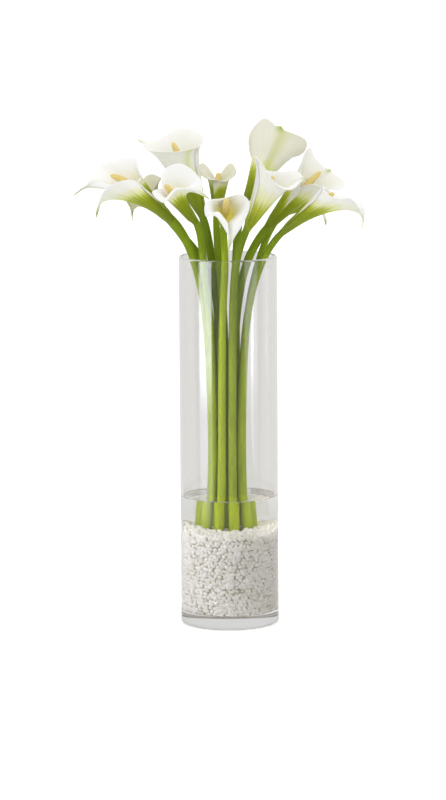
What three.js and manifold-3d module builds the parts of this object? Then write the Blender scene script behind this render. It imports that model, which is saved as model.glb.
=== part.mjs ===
import * as THREE from 'three';
import { LoftGeometry } from 'three/addons/geometries/LoftGeometry.js';
import { mergeVertices } from 'three/addons/utils/BufferGeometryUtils.js';
import Module from 'manifold-3d';

// Twelve white calla lilies in a tall clear glass cylinder, standing in white gravel and water.
// Millimetres, Z up. The origin is the centre of the vase's flat bottom, and -Y is the front.

// Driving dimensions

const VASE = { radius: 50, height: 377, wall: 3.3, base: 14, sides: 48 };
const GAP = 0.3;
// The gravel is level behind the middle and slopes down towards the front
const GRAVEL = { top: 101, slope: 0.12, corner: 4.5 };
const PEBBLE = { depth: 3.2, crown: 0.35, dip: 0.7, rise: 1.4, columns: 56, pitch: 5.6 };
const WATER_LEVEL = 131.5;
const STEM = { radius: 4.2, sides: 8, foot: 22, straight: 14 };
const STEM_STEPS = [1, 1, 2, 2, 2, 3, 3];
const SHEET = { thickness: 0.8, wrapGap: 1.3, wrapEnd: 1.22, wrapLow: 0.55, tailHalfWidth: 0.06 };
// Shares of the funnel's length where its two widths are, and of the way from throat to margin
const FUNNEL = { low: 0.38, high: 0.85, flare: 0.62 };
const SPADIX = { radius: 3.6, stalk: 0.55, sides: 8 };
// Points closer than this are one
const WELD = 1e-3;

// Nine stems stand in a ring round three. They are closest at the waist, and lean forward up to it.
const WAIST = { height: 170, outer: 15.4, inner: 5.9 };
const SPREAD = [
  { z: STEM.foot, scale: 1.3, middle: [-3, 12] },
  { z: GRAVEL.top, scale: 1.17, middle: [-2.4, 9] },
  { z: WAIST.height, scale: 1, middle: [-2, 3] },
];
const OPENING_OUT = [
  { z: 290, share: 0.2 },
  { z: 335, share: 0.45 },
  { z: VASE.height, share: 1 },
];

const COLOURS = {
  glass: 0xe6e8e6,
  water: 0xdfe5e0,
  gravel: 0xdedad2,
  stem: 0x7d9322,
  spathe: 0xf2f1ec,
  spadix: 0xe0bf5f,
};

// Each flower, clockwise from the far left seen from above the front.
// waist: which ring its stem is in and its angle there; rim: where the stem leaves the vase (x, y)
// neck: radius of the stem where the funnel begins
// joint: top of the stem; throat: centre of the funnel's throat
// tube: radius of the funnel a third of the way up, and just below the throat
// edge: the spathe's margin from the front notch round to the tip (fifth) and back again,
//       x, y, z and how far the blade arches up before it reaches the margin
// tail: end of the thin green point; spadix: its upper end
const FLOWERS = [
  {
    name: '01', waist: ['outer', 130], rim: [-33, 5], neck: 3.4, tube: [5, 10],
    joint: [-69, 5, 424], throat: [-97, -4, 454], spadix: [-118, -8, 460], tail: [-156, -14, 439],
    edge: [[-85, -10, 459, 2], [-94, 16, 475, 4], [-116, 14, 473, 4], [-136, 14, 465, 6],
      [-141, -14, 450, 20], [-130, -18, 449, 15], [-114, -20, 446, 10], [-97, -26, 448, 5]],
  },
  {
    name: '02', waist: ['outer', 170], rim: [-34, -8], neck: 4.5, tube: [5.5, 5.5],
    joint: [-58, -26, 418], throat: [-94, -52, 452], spadix: [-113, -56, 453], tail: [-131, -54, 420],
    edge: [[-84, -24, 449, 1], [-94, -54, 459, 1], [-107, -80, 460, 4], [-121, -82, 452, 12],
      [-128, -58, 434, 32], [-121, -30, 438, 14], [-108, -28, 446, 4], [-93, -26, 450, -5]],
  },
  {
    name: '03', waist: ['outer', 90], rim: [-27, 18], neck: 3.4, tube: [5, 8],
    joint: [-60, 24, 411], throat: [-82, 36, 437], spadix: [-93, 37, 443], tail: [-97, 34, 407],
    edge: [[-67, 20, 455, 2], [-76, 22, 442, 2], [-89, 22, 436, 5], [-104, 26, 434, 9],
      [-98, 34, 419, 18], [-88, 52, 427, 10], [-88, 50, 448, 2], [-79, 42, 457, 2]],
  },
  {
    name: '04', waist: ['outer', 210], rim: [-26, -16], neck: 3.7, tube: [4.6, 5.6],
    joint: [-33, -24, 415], throat: [-58, -46, 448], spadix: [-62, -52, 454], tail: [-16, -46, 438],
    edge: [[-67, -38, 449, 1], [-75, -56, 446, 9], [-63, -64, 437, 9], [-48, -58, 450, 9],
      [-24, -50, 444, 21], [-27, -30, 459, 1], [-46, -26, 473, -3], [-64, -30, 467, -1]],
  },
  {
    name: '05', waist: ['inner', 150], rim: [-17, 8.5], neck: 4.1, tube: [7.5, 17],
    joint: [-26, 14, 417], throat: [-47, 18, 473], spadix: [-55, 16, 491], tail: [-91, 14, 495],
    edge: [[-27, 14, 487, 2], [-37, 0, 485, 2], [-55, -6, 483, 3], [-83, 0, 485, 3],
      [-89, 14, 493, 3], [-71, 32, 493, 2], [-47, 44, 504, -2], [-24, 34, 497, 3]],
  },
  {
    name: '06', waist: ['inner', 270], rim: [-10, -3], neck: 3.4, tube: [6, 6.5],
    joint: [-11, 12, 420], throat: [-9, 32, 447], spadix: [-9, 38, 458], tail: [-11, 66, 441],
    edge: [[-9, 18, 452, 2], [-20, 19, 453, 11], [-30, 32, 460, 18], [-25, 48, 467, 11],
      [-11, 60, 450, 6], [3, 50, 467, 11], [10, 34, 459, 18], [1, 20, 452, 11]],
  },
  {
    name: '07', waist: ['outer', 50], rim: [8, 8], neck: 3.9, tube: [5, 14.5],
    joint: [19, 12, 433], throat: [40, 22, 472], spadix: [40, 28, 491], tail: [55, 0, 508],
    edge: [[27, 48, 465, 2], [22, 40, 483, 3], [24, 28, 500, 3], [38, 14, 515, 1],
      [52, 2, 506, 3], [79, 14, 494, 5], [78, 34, 479, 5], [62, 44, 472, 0]],
  },
  {
    name: '08', waist: ['outer', 10], rim: [33, 9], neck: 3.2, tube: [4.5, 8],
    joint: [58, 26, 417], throat: [87, 46, 432], spadix: [98, 48, 434], tail: [101, 48, 401],
    edge: [[83, 34, 440, 1], [91, 26, 434, 2], [96, 32, 428, 6], [94, 38, 418, 8],
      [99, 46, 411, 14], [103, 72, 418, 8], [102, 58, 431, 1], [92, 48, 442, 1]],
  },
  {
    name: '09', waist: ['inner', 30], rim: [20, -5], neck: 4.1, tube: [6.5, 11],
    joint: [41, 0, 406], throat: [75, 12, 443], spadix: [95, 8, 461], tail: [106, 30, 461],
    edge: [[74, -2, 447, 2], [88, -8, 449, 3], [111, -6, 443, 8], [119, 6, 451, 7],
      [103, 28, 461, 3], [91, 34, 472, 0], [85, 32, 484, -2], [77, 16, 472, 0]],
  },
  {
    name: '10', waist: ['outer', 330], rim: [36, -4], neck: 3.5, tube: [4.2, 6],
    joint: [56, -12, 402], throat: [96, -34, 438], spadix: [107, -36, 443], tail: [135, -36, 406],
    edge: [[95, -32, 451, 1], [100, -46, 443, 2], [110, -54, 439, 6], [124, -56, 438, 14],
      [138, -40, 416, 34], [135, -18, 431, 18], [119, -14, 438, 4], [106, -14, 443, 0]],
  },
  {
    name: '11', waist: ['outer', 290], rim: [8, -17], neck: 4.0, tube: [6.5, 13],
    joint: [20, -22, 407], throat: [43, -26, 451], spadix: [46, -30, 460], tail: [81, -18, 456],
    edge: [[28, -20, 480, 0], [35, -34, 473, 1], [47, -46, 455, 5], [63, -42, 447, 9],
      [78, -20, 457, 5], [69, -8, 464, 3], [53, -4, 463, 2], [38, -8, 466, 1]],
  },
  {
    name: '12', waist: ['outer', 250], rim: [-2, -18], neck: 3.6, tube: [5.5, 6.5],
    joint: [-4, -38, 412], throat: [-1, -70, 433], spadix: [-1, -84, 442], tail: [1, -98, 391],
    edge: [[-3, -72, 442, 2], [-21, -72, 439, 6], [-22, -80, 425, 9], [-11, -102, 426, 17],
      [4, -102, 401, 22], [17, -86, 420, 16], [22, -84, 437, 8], [12, -90, 447, 5]],
  },
];

const wasm = await Module();
wasm.setup();

const vector = (p) => new THREE.Vector3(p[0], p[1], p[2]);

// A fixed random number between 0 and 1 for each pair of whole numbers
function scatter(i, j) {
  const wave = Math.sin(i * 12.9898 + j * 78.233) * 43758.5453;
  return wave - Math.floor(wave);
}

// Booleans

function solidOf(geometry) {
  const bare = new THREE.BufferGeometry();
  bare.setAttribute('position', geometry.getAttribute('position'));
  bare.setIndex(geometry.getIndex());
  const merged = mergeVertices(bare, WELD);
  return new wasm.Manifold(new wasm.Mesh({
    numProp: 3,
    vertProperties: new Float32Array(merged.getAttribute('position').array),
    triVerts: new Uint32Array(merged.getIndex().array),
  }));
}

// A closed surface through the sections, capped at both ends
function loft(sections) {
  const skin = new LoftGeometry(sections, { capStart: true, capEnd: true });
  return new THREE.BufferGeometry().copy(skin);
}

function geometryOf(solid) {
  const mesh = solid.getMesh();
  const geometry = new THREE.BufferGeometry();
  geometry.setAttribute('position', new THREE.BufferAttribute(mesh.vertProperties, 3));
  geometry.setIndex(new THREE.BufferAttribute(mesh.triVerts, 1));
  geometry.computeVertexNormals();
  return geometry;
}

function withHoles(geometry, tools) {
  let solid = solidOf(geometry);
  for (const tool of tools) {
    solid = solid.subtract(solidOf(tool));
  }
  return geometryOf(solid);
}

// Vase

function vaseGeometry() {
  const { radius, height, wall, base, sides } = VASE;
  const inner = radius - wall;
  const lip = wall / 4;
  const heel = 3.2;
  const outline = [
    [0, 0], [radius - heel, 0], [radius - heel / 4, heel / 4], [radius, heel],
    [radius, height - lip], [radius - lip, height], [inner + lip, height], [inner, height - lip],
    [inner, base + heel], [inner - heel / 4, base + heel / 4], [inner - heel, base], [0, base],
  ];
  const profile = outline.map(([r, z]) => new THREE.Vector2(r, z));
  return new THREE.LatheGeometry(profile, sides).rotateX(Math.PI / 2);
}

// Gravel: a packed plug whose wall and top are covered with pebbles, every other point a pebble's
// crown and the ones between sunk in

function pebbleDip(i, j) {
  const { depth, crown, dip } = PEBBLE;
  const isCrown = (i + j) % 2 === 0;
  return depth * (isCrown ? crown * scatter(i, j) : dip + (1 - dip) * scatter(i, j));
}

// The gravel's own level at a place so far towards the back
function gravelTop(y) {
  return GRAVEL.top + GRAVEL.slope * Math.min(0, y);
}

function gravelGeometry() {
  const reach = VASE.radius - VASE.wall - GAP;
  const floor = VASE.base + GAP;
  const bottom = floor + GRAVEL.corner;
  const { columns, pitch, rise } = PEBBLE;
  const wallRows = Math.round((GRAVEL.top - bottom) / pitch);
  const topRows = Math.round(reach / pitch) - 1;
  const ring = (j, radius, level, dipIn, dipDown) => {
    const points = [];
    for (let i = 0; i < columns; i += 1) {
      const angle = (i / columns) * 2 * Math.PI;
      const dip = pebbleDip(i, j);
      const r = radius - dip * dipIn;
      const y = r * Math.sin(angle);
      points.push(new THREE.Vector3(r * Math.cos(angle), y, level(y) - dip * dipDown));
    }
    return points;
  };
  const sections = [ring(0, reach - GRAVEL.corner - 1, () => floor, 0, 0)];
  for (let j = 0; j <= wallRows; j += 1) {
    const share = j / wallRows;
    sections.push(ring(j, reach, (y) => bottom + share * (gravelTop(y) - bottom), 1, 0));
  }
  for (let j = 1; j <= topRows; j += 1) {
    const radius = reach + pitch / 3 - j * pitch;
    const evenness = j === topRows ? 0 : Math.min(1, (2 * radius) / reach);
    sections.push(ring(wallRows + j, radius, (y) => gravelTop(y) + rise, 0, evenness));
  }
  return loft(sections);
}

// Water: from its level down to the gravel, with a plain hole for each stem

function waterGeometry() {
  const radius = VASE.radius - VASE.wall - GAP;
  const low = gravelTop(-radius);
  const profile = [[0, low], [radius, low], [radius, WATER_LEVEL], [0, WATER_LEVEL]];
  const outline = profile.map(([r, z]) => new THREE.Vector2(r, z));
  return new THREE.LatheGeometry(outline, VASE.sides).rotateX(Math.PI / 2);
}

// All that lies under the water: a block with the gravel's slope, just over its crowns
function gravelBed() {
  const half = VASE.radius;
  const over = PEBBLE.rise + GAP;
  const corners = [[-half, 0], [half, 0], ...[half, 0, -half].map((y) => [y, gravelTop(y) + over])];
  const outline = new THREE.Shape(corners.map(([y, z]) => new THREE.Vector2(y, z)));
  const block = new THREE.ExtrudeGeometry(outline, { depth: 2 * half, bevelEnabled: false });
  return block.translate(0, 0, -half).rotateX(Math.PI / 2).rotateZ(Math.PI / 2);
}

// Stems

function funnelAxis(flower) {
  return vector(flower.throat).sub(vector(flower.joint)).normalize();
}

function stemPath(flower) {
  const [ringName, degrees] = flower.waist;
  const angle = THREE.MathUtils.degToRad(degrees);
  const waist = new THREE.Vector3(Math.cos(angle), Math.sin(angle), 0).multiplyScalar(WAIST[ringName]);
  const rim = new THREE.Vector3(flower.rim[0], flower.rim[1], 0);
  const joint = vector(flower.joint);
  const points = SPREAD.map(({ z, scale, middle }) => (
    new THREE.Vector3(middle[0], middle[1], z).addScaledVector(waist, scale)
  ));
  for (const { z, share } of OPENING_OUT) {
    points.push(points[2].clone().lerp(rim, share).setZ(z));
  }
  points.push(joint.clone().addScaledVector(funnelAxis(flower), -STEM.straight), joint);
  return new THREE.CatmullRomCurve3(points, false, 'centripetal');
}

function stemStations(flower) {
  const path = stemPath(flower);
  const spans = STEM_STEPS.length;
  const stations = [];
  STEM_STEPS.forEach((steps, span) => {
    for (let k = 0; k < steps; k += 1) {
      const t = (span + k / steps) / spans;
      stations.push({ centre: path.getPoint(t), along: path.getTangent(t) });
    }
  });
  stations.push({ centre: vector(flower.joint), along: funnelAxis(flower) });
  stations[0].along.set(0, 0, 1);
  return stations;
}

function ringAt({ centre, along }, radius, sides) {
  const side = new THREE.Vector3(1, 0, 0).addScaledVector(along, -along.x).normalize();
  const other = new THREE.Vector3().crossVectors(along, side);
  const points = [];
  for (let k = 0; k < sides; k += 1) {
    const angle = (k / sides) * 2 * Math.PI;
    const point = centre.clone().addScaledVector(side, radius * Math.cos(angle));
    points.push(point.addScaledVector(other, radius * Math.sin(angle)));
  }
  return points;
}

// A stem keeps its width up to the waist, and from there thins or thickens to its neck
function stemGeometry(flower) {
  const sections = stemStations(flower).map((station) => {
    const share = (station.centre.z - WAIST.height) / (flower.joint[2] - WAIST.height);
    const radius = THREE.MathUtils.lerp(STEM.radius, flower.neck, Math.max(0, share));
    return ringAt(station, radius, STEM.sides);
  });
  return loft(sections);
}

// The room a stem takes in the gravel and the water, with its clearance
function stemHole(flower) {
  const stations = stemStations(flower).slice(0, 3);
  stations[0].centre.z -= GAP;
  const radius = STEM.radius + GAP / Math.cos(Math.PI / STEM.sides);
  const sections = stations.map((station) => ringAt(station, radius, STEM.sides));
  return loft(sections);
}

// Spathe: one leaf rolled into a funnel. u runs round it, -1 and 1 at the front notch and 0 at the
// tip, and v runs up it from the joint to the margin.

function marginPoints(flower) {
  const points = flower.edge.map(([x, y, z, arch]) => new THREE.Vector4(x, y, z, arch));
  return [...points, points[0]];
}

// The margin is smooth from the notch to the tip on either side and comes to a point at the tip
function marginAt(points, u) {
  const half = u < 0 ? points.slice(0, 5) : points.slice(4);
  const t = (u < 0 ? u + 1 : u) * 4;
  const k = Math.min(Math.floor(t), 3);
  const f = t - k;
  const before = half[k - 1] ?? half[0].clone().multiplyScalar(2).sub(half[1]);
  const after = half[k + 2] ?? half[4].clone().multiplyScalar(2).sub(half[3]);
  const slopeIn = half[k + 1].clone().sub(before).multiplyScalar(0.5);
  const slopeOut = after.clone().sub(half[k]).multiplyScalar(0.5);
  return half[k].clone().multiplyScalar(2 * f ** 3 - 3 * f ** 2 + 1)
    .addScaledVector(slopeIn, f ** 3 - 2 * f ** 2 + f)
    .addScaledVector(half[k + 1], -2 * f ** 3 + 3 * f ** 2)
    .addScaledVector(slopeOut, f ** 3 - f ** 2);
}

function bladeOf(flower) {
  const joint = vector(flower.joint);
  const throat = vector(flower.throat);
  const axis = funnelAxis(flower);
  const length = throat.distanceTo(joint);
  const points = marginPoints(flower);
  const perpendicular = (p) => p.clone().sub(joint).projectOnPlane(axis).normalize();
  const back = perpendicular(vector(flower.edge[4]));
  const side = new THREE.Vector3().crossVectors(axis, back);
  const turn = Math.sign(side.dot(perpendicular(vector(flower.edge[6]))));
  side.multiplyScalar(turn);
  const tail = vector(flower.tail).sub(vector(flower.edge[4]));
  const ring = flower.neck - SHEET.thickness / 2;
  const [lowTube, highTube] = flower.tube;

  return (uAny, v) => {
    const u = uAny > 1 ? uAny - 2 : uAny;
    const around = back.clone().multiplyScalar(Math.cos(Math.PI * u));
    around.addScaledVector(side, Math.sin(Math.PI * u));
    const margin4 = marginAt(points, u);
    const margin = new THREE.Vector3(margin4.x, margin4.y, margin4.z);
    margin.addScaledVector(tail, Math.max(0, 1 - Math.abs(u) / SHEET.tailHalfWidth) ** 1.5);
    const guides = [
      joint.clone().addScaledVector(axis, GAP).addScaledVector(around, ring),
      joint.clone().addScaledVector(axis, FUNNEL.low * length).addScaledVector(around, lowTube),
      joint.clone().addScaledVector(axis, FUNNEL.high * length).addScaledVector(around, highTube),
      throat.clone().lerp(margin, FUNNEL.flare).addScaledVector(axis, margin4.w),
      margin,
    ];
    const weights = [1, 4, 6, 4, 1];
    const point = new THREE.Vector3();
    guides.forEach((guide, k) => {
      point.addScaledVector(guide, weights[k] * v ** k * (1 - v) ** (4 - k));
    });
    return point;
  };
}

// A point of the rolled sheet and the way it faces. Each turn lies a little outside the last, and
// past the notch the outer margin runs down the funnel.
function sheetOf(flower) {
  const blade = bladeOf(flower);
  const step = 0.01;
  const tubeLevel = 0.4;
  return (u, v) => {
    const past = Math.max(0, (u - 1) / (SHEET.wrapEnd - 1));
    const low = v * (1 - (1 - SHEET.wrapLow) * past);
    const home = u > 1 ? u - 2 : u;
    const behind = home - step < -1 ? home - step + 2 : home - step;
    const ahead = blade(home + step, low).sub(blade(behind, low));
    const up = blade(home, Math.min(low + step, 1)).sub(blade(home, Math.max(low - step, 0)));
    const facing = new THREE.Vector3().crossVectors(ahead, up).normalize();
    const onTube = blade(home, tubeLevel);
    const outward = onTube.clone().sub(vector(flower.joint)).projectOnPlane(funnelAxis(flower));
    const tubeFacing = new THREE.Vector3().crossVectors(
      blade(home + step, tubeLevel).sub(onTube), blade(home, tubeLevel + step).sub(onTube),
    );
    facing.multiplyScalar(Math.sign(tubeFacing.dot(outward)));
    const turns = u > 1 ? 1 : (u + 1) / 2;
    const point = blade(home, low).addScaledVector(facing, SHEET.wrapGap * turns);
    return { point, facing };
  };
}

const SHEET_U = [-1, -0.87, -0.74, -0.61, -0.48, -0.35, -0.23, -0.12, -0.05, 0,
  0.05, 0.12, 0.23, 0.35, 0.48, 0.61, 0.74, 0.87, 1, 1.11, SHEET.wrapEnd];
const SHEET_V = [0, 0.2, 0.38, 0.54, 0.68, 0.8, 0.91, 1];

function spatheGeometry(flower) {
  const sheet = sheetOf(flower);
  const rows = SHEET_V.length;
  const columns = SHEET_U.length;
  const positions = [];
  for (const way of [0.5, -0.5]) {
    for (const u of SHEET_U) {
      for (const v of SHEET_V) {
        const { point, facing } = sheet(u, v);
        point.addScaledVector(facing, way * SHEET.thickness);
        positions.push(point.x, point.y, point.z);
      }
    }
  }
  const at = (face, i, j) => face * rows * columns + i * rows + j;
  const index = [];
  const quad = (a, b, c, d) => index.push(a, b, c, a, c, d);
  for (let i = 0; i < columns - 1; i += 1) {
    for (let j = 0; j < rows - 1; j += 1) {
      const [a, b, c, d] = [at(0, i, j), at(0, i + 1, j), at(0, i + 1, j + 1), at(0, i, j + 1)];
      const [e, f, g, h] = [at(1, i, j), at(1, i + 1, j), at(1, i + 1, j + 1), at(1, i, j + 1)];
      quad(a, b, c, d);
      index.push(e, g, f, e, h, g);
    }
    quad(at(1, i, 0), at(1, i + 1, 0), at(0, i + 1, 0), at(0, i, 0));
    quad(at(0, i, rows - 1), at(0, i + 1, rows - 1), at(1, i + 1, rows - 1), at(1, i, rows - 1));
  }
  for (let j = 0; j < rows - 1; j += 1) {
    quad(at(0, 0, j), at(0, 0, j + 1), at(1, 0, j + 1), at(1, 0, j));
    const last = columns - 1;
    quad(at(1, last, j), at(1, last, j + 1), at(0, last, j + 1), at(0, last, j));
  }
  const geometry = new THREE.BufferGeometry();
  geometry.setAttribute('position', new THREE.Float32BufferAttribute(positions, 3));
  geometry.setIndex(index);
  return facingOut(geometry);
}

// Turns every face over if the closed surface points inwards
function facingOut(geometry) {
  const index = geometry.getIndex().array;
  const corners = geometry.getAttribute('position');
  let volume = 0;
  for (let k = 0; k < index.length; k += 3) {
    const [a, b, c] = [0, 1, 2].map((m) => new THREE.Vector3().fromBufferAttribute(corners, index[k + m]));
    volume += a.dot(b.cross(c));
  }
  if (volume < 0) {
    for (let k = 0; k < index.length; k += 3) {
      [index[k + 1], index[k + 2]] = [index[k + 2], index[k + 1]];
    }
  }
  geometry.computeVertexNormals();
  return geometry;
}

// Spadix: a thin stalk in the tube that thickens to a blunt finger past the throat

function spadixGeometry(flower) {
  const joint = vector(flower.joint).addScaledVector(funnelAxis(flower), GAP);
  const path = new THREE.QuadraticBezierCurve3(joint, vector(flower.throat), vector(flower.spadix));
  const { radius } = SPADIX;
  const stalk = SPADIX.stalk * flower.neck;
  const outline = [
    [0, stalk], [0.3, stalk], [0.5, radius], [0.75, radius], [0.93, 0.8 * radius], [1, 0.35 * radius],
  ];
  const sections = outline.map(([t, r]) => {
    const along = t === 0 ? funnelAxis(flower) : path.getTangent(t);
    return ringAt({ centre: path.getPoint(t), along }, r, SPADIX.sides);
  });
  return loft(sections);
}

// The whole bouquet

const finishes = {
  glass: new THREE.MeshStandardMaterial({
    color: COLOURS.glass, roughness: 0.03, metalness: 0, transparent: true, opacity: 0.3,
  }),
  water: new THREE.MeshStandardMaterial({
    color: COLOURS.water, roughness: 0.02, metalness: 0, transparent: true, opacity: 0.3,
  }),
  gravel: new THREE.MeshStandardMaterial({ color: COLOURS.gravel, roughness: 0.8, metalness: 0 }),
  stem: new THREE.MeshStandardMaterial({ color: COLOURS.stem, roughness: 0.4, metalness: 0 }),
  spathe: new THREE.MeshStandardMaterial({ color: COLOURS.spathe, roughness: 0.5, metalness: 0 }),
  spadix: new THREE.MeshStandardMaterial({ color: COLOURS.spadix, roughness: 0.8, metalness: 0 }),
};

const group = new THREE.Group();

function add(name, geometry, finish) {
  const mesh = new THREE.Mesh(geometry, finishes[finish]);
  mesh.name = name;
  group.add(mesh);
}

const holes = FLOWERS.map(stemHole);
add('vase', vaseGeometry(), 'glass');
add('gravel', withHoles(gravelGeometry(), holes), 'gravel');
add('water', withHoles(waterGeometry(), [gravelBed(), ...holes]), 'water');
for (const flower of FLOWERS) {
  add(`stem_${flower.name}`, stemGeometry(flower), 'stem');
  add(`spathe_${flower.name}`, spatheGeometry(flower), 'spathe');
  add(`spadix_${flower.name}`, spadixGeometry(flower), 'spadix');
}

export default group;
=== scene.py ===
"""Twelve white calla lilies in a tall clear glass cylinder, standing in white gravel and water.

Sizes are millimetres where a class doesn't say otherwise. Meshes are in metres, Z up, with the
origin at the centre of the vase's flat bottom and -Y at the front.
"""
import logging
import math
from dataclasses import dataclass
from enum import Enum
from typing import Callable, Sequence, Union

import bpy
import numpy as np
from mathutils import Matrix, Vector


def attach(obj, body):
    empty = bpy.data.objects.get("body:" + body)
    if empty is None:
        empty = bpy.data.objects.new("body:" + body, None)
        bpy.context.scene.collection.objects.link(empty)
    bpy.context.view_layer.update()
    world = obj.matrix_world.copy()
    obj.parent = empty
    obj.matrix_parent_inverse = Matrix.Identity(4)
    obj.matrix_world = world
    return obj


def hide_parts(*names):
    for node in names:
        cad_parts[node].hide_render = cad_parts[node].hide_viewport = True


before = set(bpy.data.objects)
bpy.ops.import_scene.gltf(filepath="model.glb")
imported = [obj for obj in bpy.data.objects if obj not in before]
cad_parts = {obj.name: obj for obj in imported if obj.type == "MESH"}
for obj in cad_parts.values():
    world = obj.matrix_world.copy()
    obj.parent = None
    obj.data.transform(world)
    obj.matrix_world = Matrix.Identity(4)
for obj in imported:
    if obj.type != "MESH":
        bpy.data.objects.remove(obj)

# A millimetre in metres, a length that counts as none, the least number to divide by, the angle
# that shades a piece smooth all over, and plain white
MM = 0.001
NEAR = 1e-6
TINY = 1e-9
ALL_ROUND = 180.0
WHITE = (1.0, 1.0, 1.0)

ROOT = "root"
LOG = logging.getLogger("bouquet")

Colour = tuple[float, float, float]
Point = tuple[float, float, float]
Pair = tuple[float, float]
Span = tuple[float, float]
Table = tuple[tuple[float, float], ...]
Outline = list[tuple[float, float]]
Stops = Sequence[tuple[float, Colour]]
Shape = tuple[np.ndarray, np.ndarray]
Swell = Callable[[np.ndarray, np.ndarray], np.ndarray]
Input = Union[float, Sequence[float], bpy.types.NodeSocket]
Outputs = bpy.types.bpy_prop_collection


class Ring(Enum):
    """The ring of stems that a stem stands in, with its radius at the waist."""

    INNER = 5.9
    OUTER = 15.4


@dataclass(frozen=True)
class Lily:
    """One flower's own measures, as the frame has them.

    waist is its ring and its angle there in degrees, rim the place where the stem leaves the vase,
    neck the stem's radius where the funnel starts, and tube the funnel's radius a third of the way
    up and just below the throat. Each row of edge is a point of the margin, from the front notch
    round to the tip (fifth) and back, with how far the blade arches up before it reaches the
    margin. streak is where a green streak runs, as the place round the funnel near the margin and
    halfway down, and how strong it is. green is how much higher up than usual the green reaches,
    cream how far the white turns darker and creamy, partly its creamy tint and partly
    painted shade, and soft how slowly the green turns white.
    """

    name: str
    waist: tuple[Ring, float]
    rim: Pair
    neck: float
    tube: Pair
    joint: Point
    throat: Point
    spadix: Point
    tail: Point
    edge: tuple[tuple[float, float, float, float], ...]
    streak: tuple[float, float, float] = (0.0, 0.0, 0.2)
    green: float = 0.0
    cream: float = 0.04
    soft: float = 0.0


# cream darkens a flower's white: partly its creamy tint, partly painted shade
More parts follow.
